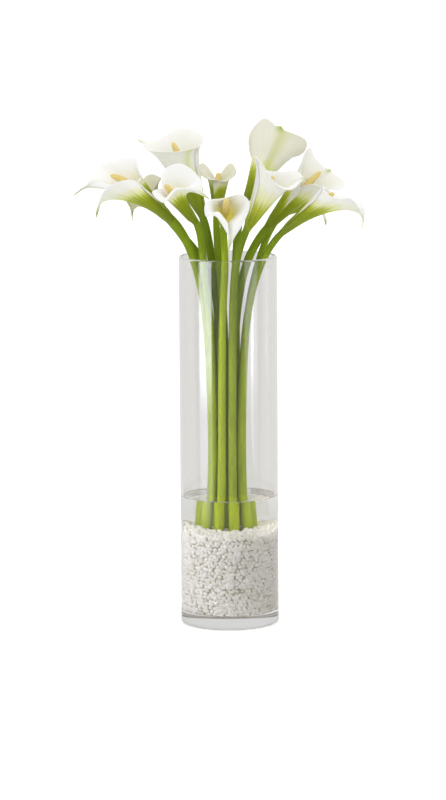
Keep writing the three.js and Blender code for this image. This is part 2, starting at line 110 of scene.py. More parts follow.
LILIES = (
    Lily("01", (Ring.OUTER, 130), (-33, 5), 3.4, (5, 10),
         (-69, 5, 424), (-97, -4, 454), (-118, -8, 460), (-156, -14, 439),
         ((-85, -10, 459, 2), (-94, 16, 475, 4), (-116, 14, 473, 4), (-136, 14, 465, 6),
          (-141, -14, 450, 20), (-130, -18, 449, 15), (-114, -20, 446, 10), (-97, -26, 448, 5))),
    Lily("02", (Ring.OUTER, 170), (-34, -8), 4.5, (5.5, 5.5),
         (-58, -26, 418), (-94, -52, 452), (-113, -56, 453), (-131, -54, 420),
         ((-84, -24, 449, 1), (-94, -54, 459, 1), (-107, -80, 460, 4), (-121, -82, 452, 12),
          (-128, -58, 434, 32), (-121, -30, 438, 14), (-108, -28, 446, 4), (-93, -26, 450, -5))),
    Lily("03", (Ring.OUTER, 90), (-27, 18), 3.4, (5, 8),
         (-60, 24, 411), (-82, 36, 437), (-93, 37, 443), (-97, 34, 407),
         ((-67, 20, 455, 2), (-76, 22, 442, 2), (-89, 22, 436, 5), (-104, 26, 434, 9),
          (-98, 34, 419, 18), (-88, 52, 427, 10), (-88, 50, 448, 2), (-79, 42, 457, 2)),
         green=-0.1, cream=0.8),
    Lily("04", (Ring.OUTER, 210), (-26, -16), 3.7, (4.6, 5.6),
         (-33, -24, 415), (-58, -46, 448), (-62, -52, 454), (-16, -46, 438),
         ((-67, -38, 449, 1), (-75, -56, 446, 9), (-63, -64, 437, 9), (-48, -58, 450, 9),
          (-24, -50, 444, 21), (-27, -30, 459, 1), (-46, -26, 473, -3), (-64, -30, 467, -1))),
    Lily("05", (Ring.INNER, 150), (-17, 8.5), 4.1, (7.5, 17),
         (-26, 14, 417), (-47, 18, 473), (-55, 16, 491), (-91, 14, 495),
         ((-27, 14, 487, 2), (-37, 0, 485, 2), (-55, -6, 483, 3), (-83, 0, 485, 3),
          (-89, 14, 493, 3), (-71, 32, 493, 2), (-47, 44, 504, -2), (-24, 34, 497, 3)),
         streak=(-0.74, -0.53, 0.5), green=-0.1, cream=0.15),
    Lily("06", (Ring.INNER, 270), (-10, -3), 3.4, (6, 6.5),
         (-11, 12, 420), (-9, 32, 447), (-9, 38, 458), (-11, 66, 441),
         ((-9, 18, 452, 2), (-20, 19, 453, 11), (-30, 32, 460, 18), (-25, 48, 467, 11),
          (-11, 60, 450, 6), (3, 50, 467, 11), (10, 34, 459, 18), (1, 20, 452, 11)),
         green=0.04, cream=0.7),
    Lily("07", (Ring.OUTER, 50), (8, 8), 3.9, (5, 14.5),
         (19, 12, 433), (40, 22, 472), (40, 28, 491), (55, 0, 508),
         ((27, 48, 465, 2), (22, 40, 483, 3), (24, 28, 500, 3), (38, 14, 515, 1),
          (52, 2, 506, 3), (79, 14, 494, 5), (78, 34, 479, 5), (62, 44, 472, 0)),
         streak=(0.04, 0.12, 0.6), green=-0.12, cream=0.5),
    Lily("08", (Ring.OUTER, 10), (33, 9), 3.2, (4.5, 8),
         (58, 26, 417), (87, 46, 432), (98, 48, 434), (101, 48, 401),
         ((83, 34, 440, 1), (91, 26, 434, 2), (96, 32, 428, 6), (94, 38, 418, 8),
          (99, 46, 411, 14), (103, 72, 418, 8), (102, 58, 431, 1), (92, 48, 442, 1)),
         cream=0.45),
    Lily("09", (Ring.INNER, 30), (20, -5), 4.1, (6.5, 11),
         (41, 0, 406), (75, 12, 443), (95, 8, 461), (106, 30, 461),
         ((74, -2, 447, 2), (88, -8, 449, 3), (111, -6, 443, 8), (119, 6, 451, 7),
          (103, 28, 461, 3), (91, 34, 472, 0), (85, 32, 484, -2), (77, 16, 472, 0)),
         cream=0.25),
    Lily("10", (Ring.OUTER, 330), (36, -4), 3.5, (4.2, 6),
         (56, -12, 402), (96, -34, 438), (107, -36, 443), (135, -36, 406),
         ((95, -32, 451, 1), (100, -46, 443, 2), (110, -54, 439, 6), (124, -56, 438, 14),
          (138, -40, 416, 34), (135, -18, 431, 18), (119, -14, 438, 4), (106, -14, 443, 0))),
    Lily("11", (Ring.OUTER, 290), (8, -17), 4.0, (6.5, 13),
         (20, -22, 407), (43, -26, 451), (46, -30, 460), (81, -18, 456),
         ((28, -20, 480, 0), (35, -34, 473, 1), (47, -46, 455, 5), (63, -42, 447, 9),
          (78, -20, 457, 5), (69, -8, 464, 3), (53, -4, 463, 2), (38, -8, 466, 1)),
         green=-0.15, cream=0.12, soft=0.45),
    Lily("12", (Ring.OUTER, 250), (-2, -18), 3.6, (6.3, 9.0),
         (-4, -38, 412), (-1, -70, 433), (-1, -84, 442), (1, -98, 391),
         ((-3, -72, 442, 2), (-21, -72, 439, 6), (-22, -80, 425, 9), (-11, -102, 426, 17),
          (4, -102, 401, 22), (17, -86, 420, 16), (22, -84, 437, 8), (12, -90, 447, 5)),
         green=-0.2),
)


# Height, share of the waist's ring and the bunch's own middle there, from the feet up to the waist,
# then height and how far each stem has opened out towards its place at the rim
SPREAD = ((22.0, 1.3, (-3.0, 12.0)), (101.0, 1.17, (-2.4, 9.0)), (170.0, 1.0, (-2.0, 3.0)))
OPENING_OUT = ((290.0, 0.2), (335.0, 0.45), (377.0, 1.0))


# Modelling helpers


def select_none() -> None:
    """Deselects every object, because an operator acts on all that is selected."""
    if bpy.context.mode != "OBJECT":
        bpy.ops.object.mode_set(mode="OBJECT")
    bpy.ops.object.select_all(action="DESELECT")


def select_only(piece: bpy.types.Object) -> None:
    """Makes one object the selected and active one.

    Args:
        piece: the object.
    """
    select_none()
    piece.select_set(True)
    bpy.context.view_layer.objects.active = piece


def share_between(value: np.ndarray, start: float, end: float) -> np.ndarray:
    """How far values have come on the way from a start to an end, held at 0 and at 1."""
    return np.clip((value - start) / (end - start), 0, 1)


def coordinates(piece: bpy.types.Object) -> np.ndarray:
    """Reads the places of a mesh's points.

    Args:
        piece: the mesh's object.

    Returns:
        The places in metres, one row each.
    """
    flat = np.empty(len(piece.data.vertices) * 3)
    piece.data.vertices.foreach_get("co", flat)
    return flat.reshape(-1, 3)


def move_points(piece: bpy.types.Object, places: np.ndarray) -> None:
    """Puts every point of a mesh at its new place, in metres."""
    piece.data.vertices.foreach_set("co", places.ravel())
    piece.data.update()


def set_point_values(piece: bpy.types.Object, name: str, values: np.ndarray) -> None:
    """Stores one number per point under a name that a material can read."""
    layer = piece.data.attributes.new(name, "FLOAT", "POINT")
    layer.data.foreach_set("value", values.astype(np.float32))


def set_uv(piece: bpy.types.Object, values: np.ndarray) -> None:
    """Gives every corner of a mesh the two pattern coordinates of its point.

    Args:
        piece: the mesh's object.
        values: the two coordinates of each point, one row each.
    """
    if not piece.data.uv_layers:
        piece.data.uv_layers.new(name="Along")
    corners = np.empty(len(piece.data.loops), np.int32)
    piece.data.loops.foreach_get("vertex_index", corners)
    piece.data.uv_layers[0].data.foreach_set("uv", values[corners].ravel())


def apply_modifier(piece: bpy.types.Object, kind: str, **settings: float) -> None:
    """Adds one modifier and applies it.

    Args:
        piece: the object.
        kind: the modifier's type.
        settings: its own settings.
    """
    select_only(piece)
    modifier = piece.modifiers.new(kind.title(), kind)
    for key, value in settings.items():
        setattr(modifier, key, value)
    bpy.ops.object.modifier_apply(modifier=modifier.name)


def turned(name: str, profile: Outline, sides: int) -> bpy.types.Object:
    """Turns a closed profile about the Z axis.

    Args:
        name: the new object's name.
        profile: radius and height of each ring, from the bottom out and round to the inside or top.
        sides: how many sides the turned form has.

    Returns:
        The object, with a flat cap across its first and last ring.
    """
    select_none()
    radius, height = profile[0]
    bpy.ops.mesh.primitive_circle_add(vertices=sides, radius=radius * MM, fill_type="NGON")
    piece = bpy.context.object
    piece.name = name
    bpy.ops.object.mode_set(mode="EDIT")
    bpy.ops.transform.translate(value=(0, 0, height * MM))
    bpy.ops.mesh.select_mode(type="EDGE")
    for (r0, z0), (r1, z1) in zip(profile, profile[1:]):
        bpy.ops.mesh.extrude_edges_move(TRANSFORM_OT_translate={"value": (0, 0, (z1 - z0) * MM)})
        bpy.ops.transform.resize(value=(r1 / r0, r1 / r0, 1), center_override=(0, 0, z1 * MM))
    bpy.ops.mesh.edge_face_add()
    bpy.ops.mesh.select_all(action="SELECT")
    bpy.ops.mesh.normals_make_consistent(inside=False)
    bpy.ops.object.mode_set(mode="OBJECT")
    return piece


def rounded(corner: Pair, radius: float, start: float, end: float, steps: int = 5) -> Outline:
    """Points of an arc in a turned profile.

    Args:
        corner: radius and height of the arc's centre.
        radius: the arc's own radius.
        start: angle of its first point, in degrees from straight out.
        end: angle of its last point.
        steps: how many steps it has.

    Returns:
        The radius and height of each point.
    """
    angles = [math.radians(start + (end - start) * k / steps) for k in range(steps + 1)]
    return [(corner[0] + radius * math.cos(a), corner[1] + radius * math.sin(a)) for a in angles]


def smooth(piece: bpy.types.Object, degrees: float) -> None:
    """Shades a piece smooth except at edges sharper than the angle."""
    select_only(piece)
    bpy.ops.object.shade_smooth_by_angle(angle=math.radians(degrees))


def frames_along(points: np.ndarray) -> tuple[np.ndarray, np.ndarray, np.ndarray]:
    """Directions that stay square to a path without turning about it.

    Args:
        points: the path, one row for each station.

    Returns:
        The path's direction, and two directions square to it, at every station.
    """
    along = np.gradient(points, axis=0)
    along /= np.linalg.norm(along, axis=1, keepdims=True)
    side = np.empty_like(points)
    current = np.array((1.0, 0.0, 0.0))
    for k, direction in enumerate(along):
        current = current - direction * (current @ direction)
        current /= np.linalg.norm(current)
        side[k] = current
    return along, side, np.cross(along, side)


def drawn_along(piece: bpy.types.Object, path: np.ndarray, swell: Swell) -> None:
    """Lays an upright unit form along a path.

    Args:
        piece: a form about the Z axis that reaches from 0 to 1 in height, with a radius of 1.
        path: the path's points in millimetres, evenly spaced.
        swell: gives the radius in millimetres from the height and the angle of each point.
    """
    at = coordinates(piece)
    height = np.clip(at[:, 2], 0, 1)
    angle = np.arctan2(at[:, 1], at[:, 0])
    reach = np.hypot(at[:, 0], at[:, 1]) * swell(height, angle)
    _, side, other = frames_along(path)
    station = height * (len(path) - 1)
    low = np.minimum(station.astype(int), len(path) - 2)
    share = (station - low)[:, None]

    def between(rows: np.ndarray) -> np.ndarray:
        """One row for each point, mixed from the two stations beside it."""
        return rows[low] * (1 - share) + rows[low + 1] * share

    places = between(path)
    places = places + between(side) * (reach * np.cos(angle))[:, None]
    places = places + between(other) * (reach * np.sin(angle))[:, None]
    set_uv(piece, np.column_stack((angle / (2 * math.pi) + 0.5, height)))
    move_points(piece, places * MM)


def upright_form(name: str, sides: int, rings: int) -> bpy.types.Object:
    """A closed upright form of radius 1 and height 1, made from a ball.

    Args:
        name: the new object's name.
        sides: how many sides it has.
        rings: how many rings it is cut into.

    Returns:
        The object, with its two poles on the Z axis.
    """
    select_none()
    bpy.ops.mesh.primitive_uv_sphere_add(segments=sides, ring_count=rings, radius=1)
    piece = bpy.context.object
    piece.name = name
    at = coordinates(piece)
    fall = np.arccos(np.clip(-at[:, 2], -1, 1)) / math.pi
    flat = np.hypot(at[:, 0], at[:, 1])
    outwards = at[:, :2] / np.maximum(flat, TINY)[:, None]
    outwards[flat < NEAR] = 0
    move_points(piece, np.column_stack((outwards, fall)))
    return piece


def dressed(piece: bpy.types.Object, material: bpy.types.Material, slot: str,
            *nodes: str) -> None:
    """Gives a finished piece its material and its place in the frame.

    Args:
        piece: the finished object.
        material: its finish.
        slot: the record's material slot; not used.
        nodes: the nodes of the frame that it stands for.
    """
    select_only(piece)
    bpy.ops.object.transform_apply(location=True, rotation=True, scale=True)
    piece.data.name = piece.name
    piece.data.materials.clear()
    piece.data.materials.append(material)
    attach(piece, ROOT)
    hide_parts(*nodes)
    triangles = sum(len(face.vertices) - 2 for face in piece.data.polygons)
    LOG.info("%s: %d triangles", piece.name, triangles)


# Finishes


# The Mix node's inputs and results, which share their names and so are told apart by number
MIX_SHARE = 0
MIX_NUMBERS, MIX_NUMBER = (2, 3), 0
MIX_COLOURS, MIX_COLOUR = (6, 7), 2


@dataclass(frozen=True)
class Mottle:
    """Cloudy patches in a finish: how fine they are, how strong, and their colour."""

    scale: float
    amount: float
    colour: Colour


@dataclass(frozen=True)
class Relief:
    """A bump: its strength, and its height in metres."""

    strength: float
    height: float


@dataclass(frozen=True)
class Glow:
    """Light that travels inside soft flesh: its share, how far each colour goes, and the scale."""

    share: float
    reach: Colour
    scale: float

    def inputs(self) -> dict[str, Input]:
        """What it sets on a shader.

        Returns:
            The values by the names of the shader's inputs.
        """
        return {
            "Subsurface Weight": self.share, "Subsurface Radius": self.reach,
            "Subsurface Scale": self.scale,
        }


class Graph:
    """A node tree with a short way to add nodes."""

    def __init__(self, tree: bpy.types.NodeTree) -> None:
        """Keeps the tree and empties it."""
        self.tree = tree
        tree.nodes.clear()

    def put(self, socket: bpy.types.NodeSocket, value: Input) -> None:
        """Gives an input another node's output, or a value of its own.

        Args:
            socket: the input.
            value: the output or the value.
        """
        if isinstance(value, bpy.types.NodeSocket):
            self.tree.links.new(value, socket)
        else:
            socket.default_value = rgba(value) if socket.type == "RGBA" else value

    def node(self, kind: str, inputs: dict[str | int, Input] | None = None,
             **settings: object) -> bpy.types.Node:
        """Adds a node.

        Args:
            kind: the node's type name, without its prefix.
            inputs: a value or another node's output for each input, by its name or number.
            settings: the node's own options.

        Returns:
            The new node.
        """
        made = self.tree.nodes.new(f"ShaderNode{kind}")
        for key, value in settings.items():
            setattr(made, key, value)
        for key, value in (inputs or {}).items():
            self.put(made.inputs[key], value)
        return made

    def maths(self, operation: str, *values: Input, clamp: bool = False) -> bpy.types.NodeSocket:
        """One sum on numbers, and its result."""
        made = self.node("Math", dict(enumerate(values)), operation=operation, use_clamp=clamp)
        return made.outputs[0]

    def mixed(self, share: Input, first: Input, second: Input) -> bpy.types.NodeSocket:
        """Two colours mixed by a share, and the result."""
        inputs = dict(zip((MIX_SHARE, *MIX_COLOURS), (share, first, second)))
        return self.node("Mix", inputs, data_type="RGBA").outputs[MIX_COLOUR]

    def mixed_number(self, share: Input, first: Input, second: Input) -> bpy.types.NodeSocket:
        """Two numbers mixed by a share, and the result."""
        inputs = dict(zip((MIX_SHARE, *MIX_NUMBERS), (share, first, second)))
        return self.node("Mix", inputs, data_type="FLOAT").outputs[MIX_NUMBER]

    def mixed_shader(self, share: Input, first: Input, second: Input) -> bpy.types.NodeSocket:
        """Two shaders mixed by a share, and the result."""
        return self.node("MixShader", dict(enumerate((share, first, second)))).outputs["Shader"]

    def ranged(self, value: Input, start: Span, end: Span) -> bpy.types.NodeSocket:
        """Carries a number from one span to another.

        Args:
            value: the number.
            start: the span that it is read over, past which it is held.
            end: what it becomes at either end of that span.

        Returns:
            The result.
        """
        made = self.node("MapRange", {
            "Value": value, "From Min": start[0], "From Max": start[1],
            "To Min": end[0], "To Max": end[1],
        })
        return made.outputs["Result"]

    def ramp(self, share: Input, stops: Stops) -> bpy.types.NodeSocket:
        """A colour that changes along a number.

        Args:
            share: the number.
            stops: the places along it and the colour at each.

        Returns:
            The colour.
        """
        made = self.node("ValToRGB", {"Fac": share})
        elements = made.color_ramp.elements
        while len(elements) < len(stops):
            elements.new(0.5)
        for element, (place, colour) in zip(elements, stops):
            element.position = place
            element.color = rgba(colour)
        return made.outputs["Color"]

    def point_value(self, name: str) -> bpy.types.NodeSocket:
        """A number that the mesh carries for each of its points."""
        return self.node("Attribute", attribute_name=name).outputs["Fac"]

    def place(self) -> bpy.types.NodeSocket:
        """The place on the object, in metres."""
        return self.node("TexCoord").outputs["Object"]

    def split(self, vector: Input) -> Outputs:
        """The three numbers of a vector, by their letters."""
        return self.node("SeparateXYZ", {"Vector": vector}).outputs

    def noise(self, place: Input, scale: float, detail: float = 2.0) -> bpy.types.NodeSocket:
        """A soft random number that changes from place to place."""
        made = self.node("TexNoise", {"Vector": place, "Scale": scale, "Detail": detail})
        return made.outputs["Fac"]

    def bump(self, height: Input, relief: Relief) -> bpy.types.NodeSocket:
        """The direction of a surface with fine relief.

        Args:
            height: the relief's height from 0 to 1.
            relief: how strong and how high it is.

        Returns:
            The direction.
        """
        made = self.node("Bump", {
            "Strength": relief.strength, "Distance": relief.height, "Height": height,
        })
        return made.outputs["Normal"]

    def group(self, tree: bpy.types.NodeTree, **inputs: Input) -> Outputs:
        """Places a shared effect with this material's own values.

        Args:
            tree: the effect.
            inputs: a value or another node's output for each of its inputs.

        Returns:
            The effect's outputs.
        """
        made = self.node("Group", node_tree=tree)
        for key, value in inputs.items():
            self.put(made.inputs[key.capitalize()], value)
        return made.outputs

    def mottled(self, tree: bpy.types.NodeTree, place: Input, mottle: Mottle, light: Input,
                dark: Input | None = None) -> Outputs:
        """Places the mottle effect.

        Args:
            tree: the effect.
            place: the place that the patches follow.
            mottle: their size, strength and colour.
            light: the colour between them.
            dark: their colour, where it isn't the mottle's own.

        Returns:
            The effect's colour and mask.
        """
        return self.group(
            tree, place=place, scale=mottle.scale, amount=mottle.amount, light=light,
            dark=mottle.colour if dark is None else dark,
        )


def rgba(colour: Sequence[float]) -> tuple[float, ...]:
    """A colour with its fourth number."""
    return (*tuple(colour)[:3], 1.0)


def effect(name: str, inputs: Sequence[tuple[str, str]],
           outputs: Sequence[tuple[str, str]]) -> tuple[Graph, bpy.types.Node, bpy.types.Node]:
    """Starts a shared effect.

    Args:
        name: the effect's name.
        inputs: name and kind of each input.
        outputs: name and kind of each output.

    Returns:
        Its graph, and the nodes that hold its inputs and outputs.
    """
    tree = bpy.data.node_groups.new(name, "ShaderNodeTree")
    for way, sockets in (("INPUT", inputs), ("OUTPUT", outputs)):
        for label, kind in sockets:
            tree.interface.new_socket(label, in_out=way, socket_type=f"NodeSocket{kind}")
    graph = Graph(tree)
    source = tree.nodes.new("NodeGroupInput")
    sink = tree.nodes.new("NodeGroupOutput")
    return graph, source, sink


def mottle_effect(detail: float = 4.0, roughness: float = 0.55,
                  edges: Span = (0.32, 0.68)) -> bpy.types.NodeTree:
    """Soft cloudy patches between two colours.

    Args:
        detail: how many finer layers the clouds have.
        roughness: how strong the finer layers are.
        edges: where in the clouds a patch starts and is full.

    Returns:
        The effect.
    """
    graph, source, sink = effect(
        "Mottle",
        (("Place", "Vector"), ("Scale", "Float"), ("Amount", "Float"),
         ("Light", "Color"), ("Dark", "Color")),
        (("Color", "Color"), ("Mask", "Float")),
    )
    given = source.outputs
    clouds = graph.node("TexNoise", {
        "Vector": given["Place"], "Scale": given["Scale"], "Detail": detail, "Roughness": roughness,
    })
    spread = graph.ranged(clouds.outputs["Fac"], edges, (0.0, 1.0))
    mask = graph.maths("MULTIPLY", spread, given["Amount"])
    graph.put(sink.inputs["Color"], graph.mixed(mask, given["Light"], given["Dark"]))
    graph.put(sink.inputs["Mask"], mask)
    return graph.tree


def ribs_effect(scale: float = 7.0) -> bpy.types.NodeTree:
    """Fine ribs side by side across a number, each a little stronger or weaker than the next.

    Args:
        scale: how fine their wavering is.

    Returns:
        The effect.
    """
    graph, source, sink = effect(
        "Fine ribs",
        (("Across", "Float"), ("Along", "Float"), ("Count", "Float"), ("Waver", "Float")),
        (("Height", "Float"),),
    )
    given = source.outputs
    spot = graph.node("CombineXYZ", {"X": given["Across"], "Y": given["Along"]}).outputs[0]
    shift = graph.maths("MULTIPLY", graph.noise(spot, scale), given["Waver"])
    turn = graph.maths("MULTIPLY", given["Across"], given["Count"])
    wave = graph.maths("SINE", graph.maths("ADD", turn, shift))
    graph.put(sink.inputs["Height"], graph.maths("MULTIPLY_ADD", wave, 0.5, 0.5))
    return graph.tree


@dataclass(frozen=True)
class Effects:
    """The shared effects, built once."""

    mottle: bpy.types.NodeTree
    ribs: bpy.types.NodeTree


def start_material(name: str) -> tuple[bpy.types.Material, Graph]:
    """A new empty node material and its graph.

    Args:
        name: the material's name.

    Returns:
        The material and its graph.
    """
    material = bpy.data.materials.new(name)
    material.use_nodes = True
    return material, Graph(material.node_tree)


def close_material(graph: Graph, shader: bpy.types.NodeSocket) -> None:
    """Joins a shader to the material's output."""
    graph.node("OutputMaterial", {"Surface": shader})


@dataclass(frozen=True)
class ClearFinish:
    """Glass or water that you see through, which lets most of the light past.

    shade colours the light that passes to what is inside. A ray that has been mirrored more often
    than reflections inside the wall or the base leaves it straight on, in the colour of spent.
    """

    name: str
    tint: Colour
    ior: float
    shade: Colour
    waves: Relief
    wave_scale: float
    roughness: Span = (0.0, 0.02)
    reflections: float = 2.5
    spent: Colour = (0.64, 0.615, 0.59)

    def build(self) -> bpy.types.Material:
        """Makes the material.

        Returns:
            The material.
        """
        material, graph = start_material(self.name)
        waves = graph.noise(graph.place(), self.wave_scale, detail=1.0)
        clear = graph.node("BsdfPrincipled", {
            "Base Color": self.tint, "Roughness": graph.ranged(waves, (0.0, 1.0), self.roughness),
            "IOR": self.ior, "Transmission Weight": 1.0, "Normal": graph.bump(waves, self.waves),
        })
        passing = graph.node("BsdfTransparent", {"Color": self.shade})
        leaving = graph.node("BsdfTransparent", {"Color": self.spent})
        path = graph.node("LightPath").outputs
        spent = graph.maths("GREATER_THAN", path["Glossy Depth"], self.reflections)
        seen = graph.mixed_shader(spent, clear.outputs["BSDF"], leaving.outputs["BSDF"])
        close_material(
            graph, graph.mixed_shader(path["Is Shadow Ray"], seen, passing.outputs["BSDF"]),
        )
        return material


@dataclass(frozen=True)
class PetalFinish:
    """The white spathe: green where it leaves the stem, with streaks that run up into the white.

    The numbers of ribs and streaks are those across the funnel. turning is how far up the green
    turns white. throat and painted_throat_glow are the colour and strength of a painted glow
    deep in the funnel, an emission that stands in for the light that shines through the wall.
    cream is the darker creamy colour that the white turns to, partly its own tint and
    partly painted shade.
    """

    effects: Effects
    outside: Stops
    inside: Stops
    tip: Colour = (0.34, 0.42, 0.04)
    vein: Colour = (0.58, 0.68, 0.10)
    vein_share: float = 0.13
    streak_green: Colour = (0.52, 0.62, 0.08)
    streak_lost_inside: float = 0.7
    # The darker creamy colour: partly the white's own tint, partly painted shade
    cream: Colour = (0.64, 0.62, 0.48)
    streaks_across: float = 26.0
    streaks_along: float = 1.6
    streak_reach: float = 0.26
    turning: float = 0.54
    # A painted glow: emission deep in the throat that stands in for light shining through the wall
    throat: Colour = (1.0, 0.93, 0.22)
    painted_throat_glow: float = 0.17
    ribs: float = 150.0
    waver: float = 9.0
    mottle: Mottle = Mottle(scale=55.0, amount=0.5, colour=(0.15, 0.17, 0.02))
    mottle_dark: float = 0.045
    roughness: Span = (0.45, 0.58)
    relief: Relief = Relief(strength=0.35, height=0.0004)
    glow: Glow = Glow(share=0.6, reach=(1.0, 1.0, 0.7), scale=0.0025)
    ior: float = 1.38
    shine: float = 0.3

    def build(self) -> bpy.types.Material:
        """Makes the material.

        Returns:
            The material.
        """
        material, graph = start_material("white_spathe")
        uv = graph.split(graph.node("UVMap").outputs["UV"])
        around, up = uv["X"], uv["Y"]
        inner = graph.point_value("inner")
        height = self.streaked(graph, around, up)
        colour = graph.mixed(inner, graph.ramp(height, self.outside), graph.ramp(up, self.inside))
        ribs = graph.group(
            self.effects.ribs, across=around, along=up, count=self.ribs, waver=self.waver,
        )["Height"]
        fade = graph.maths("SUBTRACT", 1.0, up, clamp=True)
        veins = graph.maths("MULTIPLY", graph.maths("MULTIPLY", ribs, fade), self.vein_share)
        outwards = graph.maths(
            "SUBTRACT", 1.0, graph.maths("MULTIPLY", inner, self.streak_lost_inside),
        )
        streak = graph.maths("MULTIPLY", graph.point_value("streak"), outwards)
        for share, tone in (
            (veins, self.vein), (streak, self.streak_green),
            # cream: partly the creamy tint, partly painted shade
            (graph.point_value("cream"), self.cream), (graph.point_value("tip"), self.tip),
        ):
            colour = graph.mixed(share, colour, tone)
        patches = graph.mottled(
            self.effects.mottle, graph.place(), self.mottle, colour,
            graph.mixed(self.mottle_dark, colour, self.mottle.colour),
        )
        # Painted glow in the throat, an emission standing in for light through the wall
        deep = graph.maths("MULTIPLY", graph.point_value("throat"), inner)
        shader = graph.node("BsdfPrincipled", {
            "Base Color": patches["Color"], "IOR": self.ior, "Specular IOR Level": self.shine,
            "Roughness": graph.ranged(patches["Mask"], (0.0, self.mottle.amount), self.roughness),
            "Emission Color": self.throat,
            "Emission Strength": graph.maths("MULTIPLY", deep, self.painted_throat_glow),
            "Normal": graph.bump(ribs, self.relief), **self.glow.inputs(),
        })
        close_material(graph, shader.outputs["BSDF"])
        return material

    def streaked(self, graph: Graph, around: Input, up: Input) -> bpy.types.NodeSocket:
        """The height that the outside's colour is read at, which strays so that the green streaks.

        Args:
            graph: the material's graph.
            around: the position round the funnel.
            up: the position up it.

        Returns:
            The height.
        """
        spot = graph.node("CombineXYZ", {
            "X": graph.maths("MULTIPLY", around, self.streaks_across),
            "Y": graph.maths("MULTIPLY", up, self.streaks_along),
        })
        wander = graph.noise(spot.outputs[0], scale=1.0, detail=3.0)
        stray = graph.maths("SUBTRACT", wander, 0.5)
        shifted = graph.maths("ADD", up, graph.maths("MULTIPLY", stray, self.streak_reach))
        shifted = graph.maths("SUBTRACT", shifted, graph.point_value("green"))
        slower = graph.maths("SUBTRACT", 1.0, graph.point_value("soft"))
        past = graph.maths("SUBTRACT", shifted, self.turning)
        return graph.maths("MULTIPLY_ADD", past, slower, self.turning)


@dataclass(frozen=True)
class StemFinish:
    """The smooth green stem: darker up under the flower, paler low down, brighter under water.

    near_top is a span of the stem's own length, low and waterline are spans of height in metres,
    and each has the colour that it leads to and how much of it there is at either end. The
    brighter colour under water is painted light.
    """

    effects: Effects
    fresh: Colour = (0.36, 0.47, 0.012)
    deep: Colour = (0.10, 0.16, 0.005)
    top: Colour = (0.16, 0.25, 0.01)
    near_top: Span = (0.75, 1.0)
    top_share: Span = (0.0, 0.7)
    pale: Colour = (0.48, 0.57, 0.06)
    low: Span = (0.20, 0.36)
    pale_share: Span = (0.45, 0.0)
    # Painted light: the stem brighter under the water
    painted_light_under_water: Colour = (0.52, 0.64, 0.002)
    waterline: Span = (0.125, 0.133)
    painted_light_under_water_share: Span = (0.75, 0.0)
    line: Colour = (0.42, 0.50, 0.06)
    line_share: float = 0.14
    ribs: float = 150.0
    waver: float = 4.0
    mottle: Mottle = Mottle(scale=160.0, amount=0.35, colour=(0.12, 0.19, 0.004))
    drawn_out: Colour = (1.0, 1.0, 0.12)
    roughness: Span = (0.42, 0.55)
    relief: Relief = Relief(strength=0.25, height=0.0002)
    glow: Glow = Glow(share=0.12, reach=(0.6, 1.0, 0.15), scale=0.002)
    ior: float = 1.35
    shine: float = 0.12

    def build(self) -> bpy.types.Material:
        """Makes the material.

        Returns:
            The material.
        """
        material, graph = start_material("green_stem")
        uv = graph.split(graph.node("UVMap").outputs["UV"])
        height = graph.split(graph.place())["Z"]
        colour = graph.mixed(graph.point_value("tone"), self.fresh, self.deep)
        for value, span, share, tone in (
            (uv["Y"], self.near_top, self.top_share, self.top),
            (height, self.low, self.pale_share, self.pale),
            # Painted light under the water
            (height, self.waterline, self.painted_light_under_water_share, self.painted_light_under_water),
        ):
            colour = graph.mixed(graph.ranged(value, span, share), colour, tone)
        place = graph.node("Mapping", {"Vector": graph.place(), "Scale": self.drawn_out})
        patches = graph.mottled(self.effects.mottle, place.outputs["Vector"], self.mottle, colour)
        ribs = graph.group(
            self.effects.ribs, across=uv["X"], along=uv["Y"], count=self.ribs, waver=self.waver,
        )["Height"]
        lines = graph.maths("MULTIPLY", ribs, self.line_share)
        shader = graph.node("BsdfPrincipled", {
            "Base Color": graph.mixed(lines, patches["Color"], self.line),
            "Roughness": graph.ranged(patches["Mask"], (0.0, self.mottle.amount), self.roughness),
            "IOR": self.ior, "Specular IOR Level": self.shine,
            "Normal": graph.bump(ribs, self.relief), **self.glow.inputs(),
        })
        close_material(graph, shader.outputs["BSDF"])
        return material


@dataclass(frozen=True)
class SpadixFinish:
    """The yellow spadix: lighter on its beads, partly its dusting and partly a painted highlight,
    and darker between them, which is painted shade.
    """

    effects: Effects
    # Bead tops: dusting and a painted highlight; deep, between the beads, is painted shade
    pollen_and_highlight: Colour = (0.82, 0.68, 0.24)
    deep: Colour = (0.70, 0.50, 0.11)
    mottle: Mottle = Mottle(scale=420.0, amount=0.4, colour=(0.92, 0.82, 0.45))
    roughness: Span = (0.75, 0.92)
    relief: Relief = Relief(strength=0.5, height=0.0003)
    glow: Glow = Glow(share=0.1, reach=(1.0, 0.7, 0.3), scale=0.001)

    def build(self) -> bpy.types.Material:
        """Makes the material.

        Returns:
            The material.
        """
        material, graph = start_material("yellow_spadix")
        crown = graph.point_value("crown")
        # Painted highlight on the beads and painted shade between them
        colour = graph.mixed(crown, self.deep, self.pollen_and_highlight)
        patches = graph.mottled(self.effects.mottle, graph.place(), self.mottle, colour)
        shader = graph.node("BsdfPrincipled", {
            "Base Color": patches["Color"],
            "Roughness": graph.ranged(crown, (0.0, 1.0), self.roughness),
            "Normal": graph.bump(patches["Mask"], self.relief), **self.glow.inputs(),
        })
        close_material(graph, shader.outputs["BSDF"])
        return material


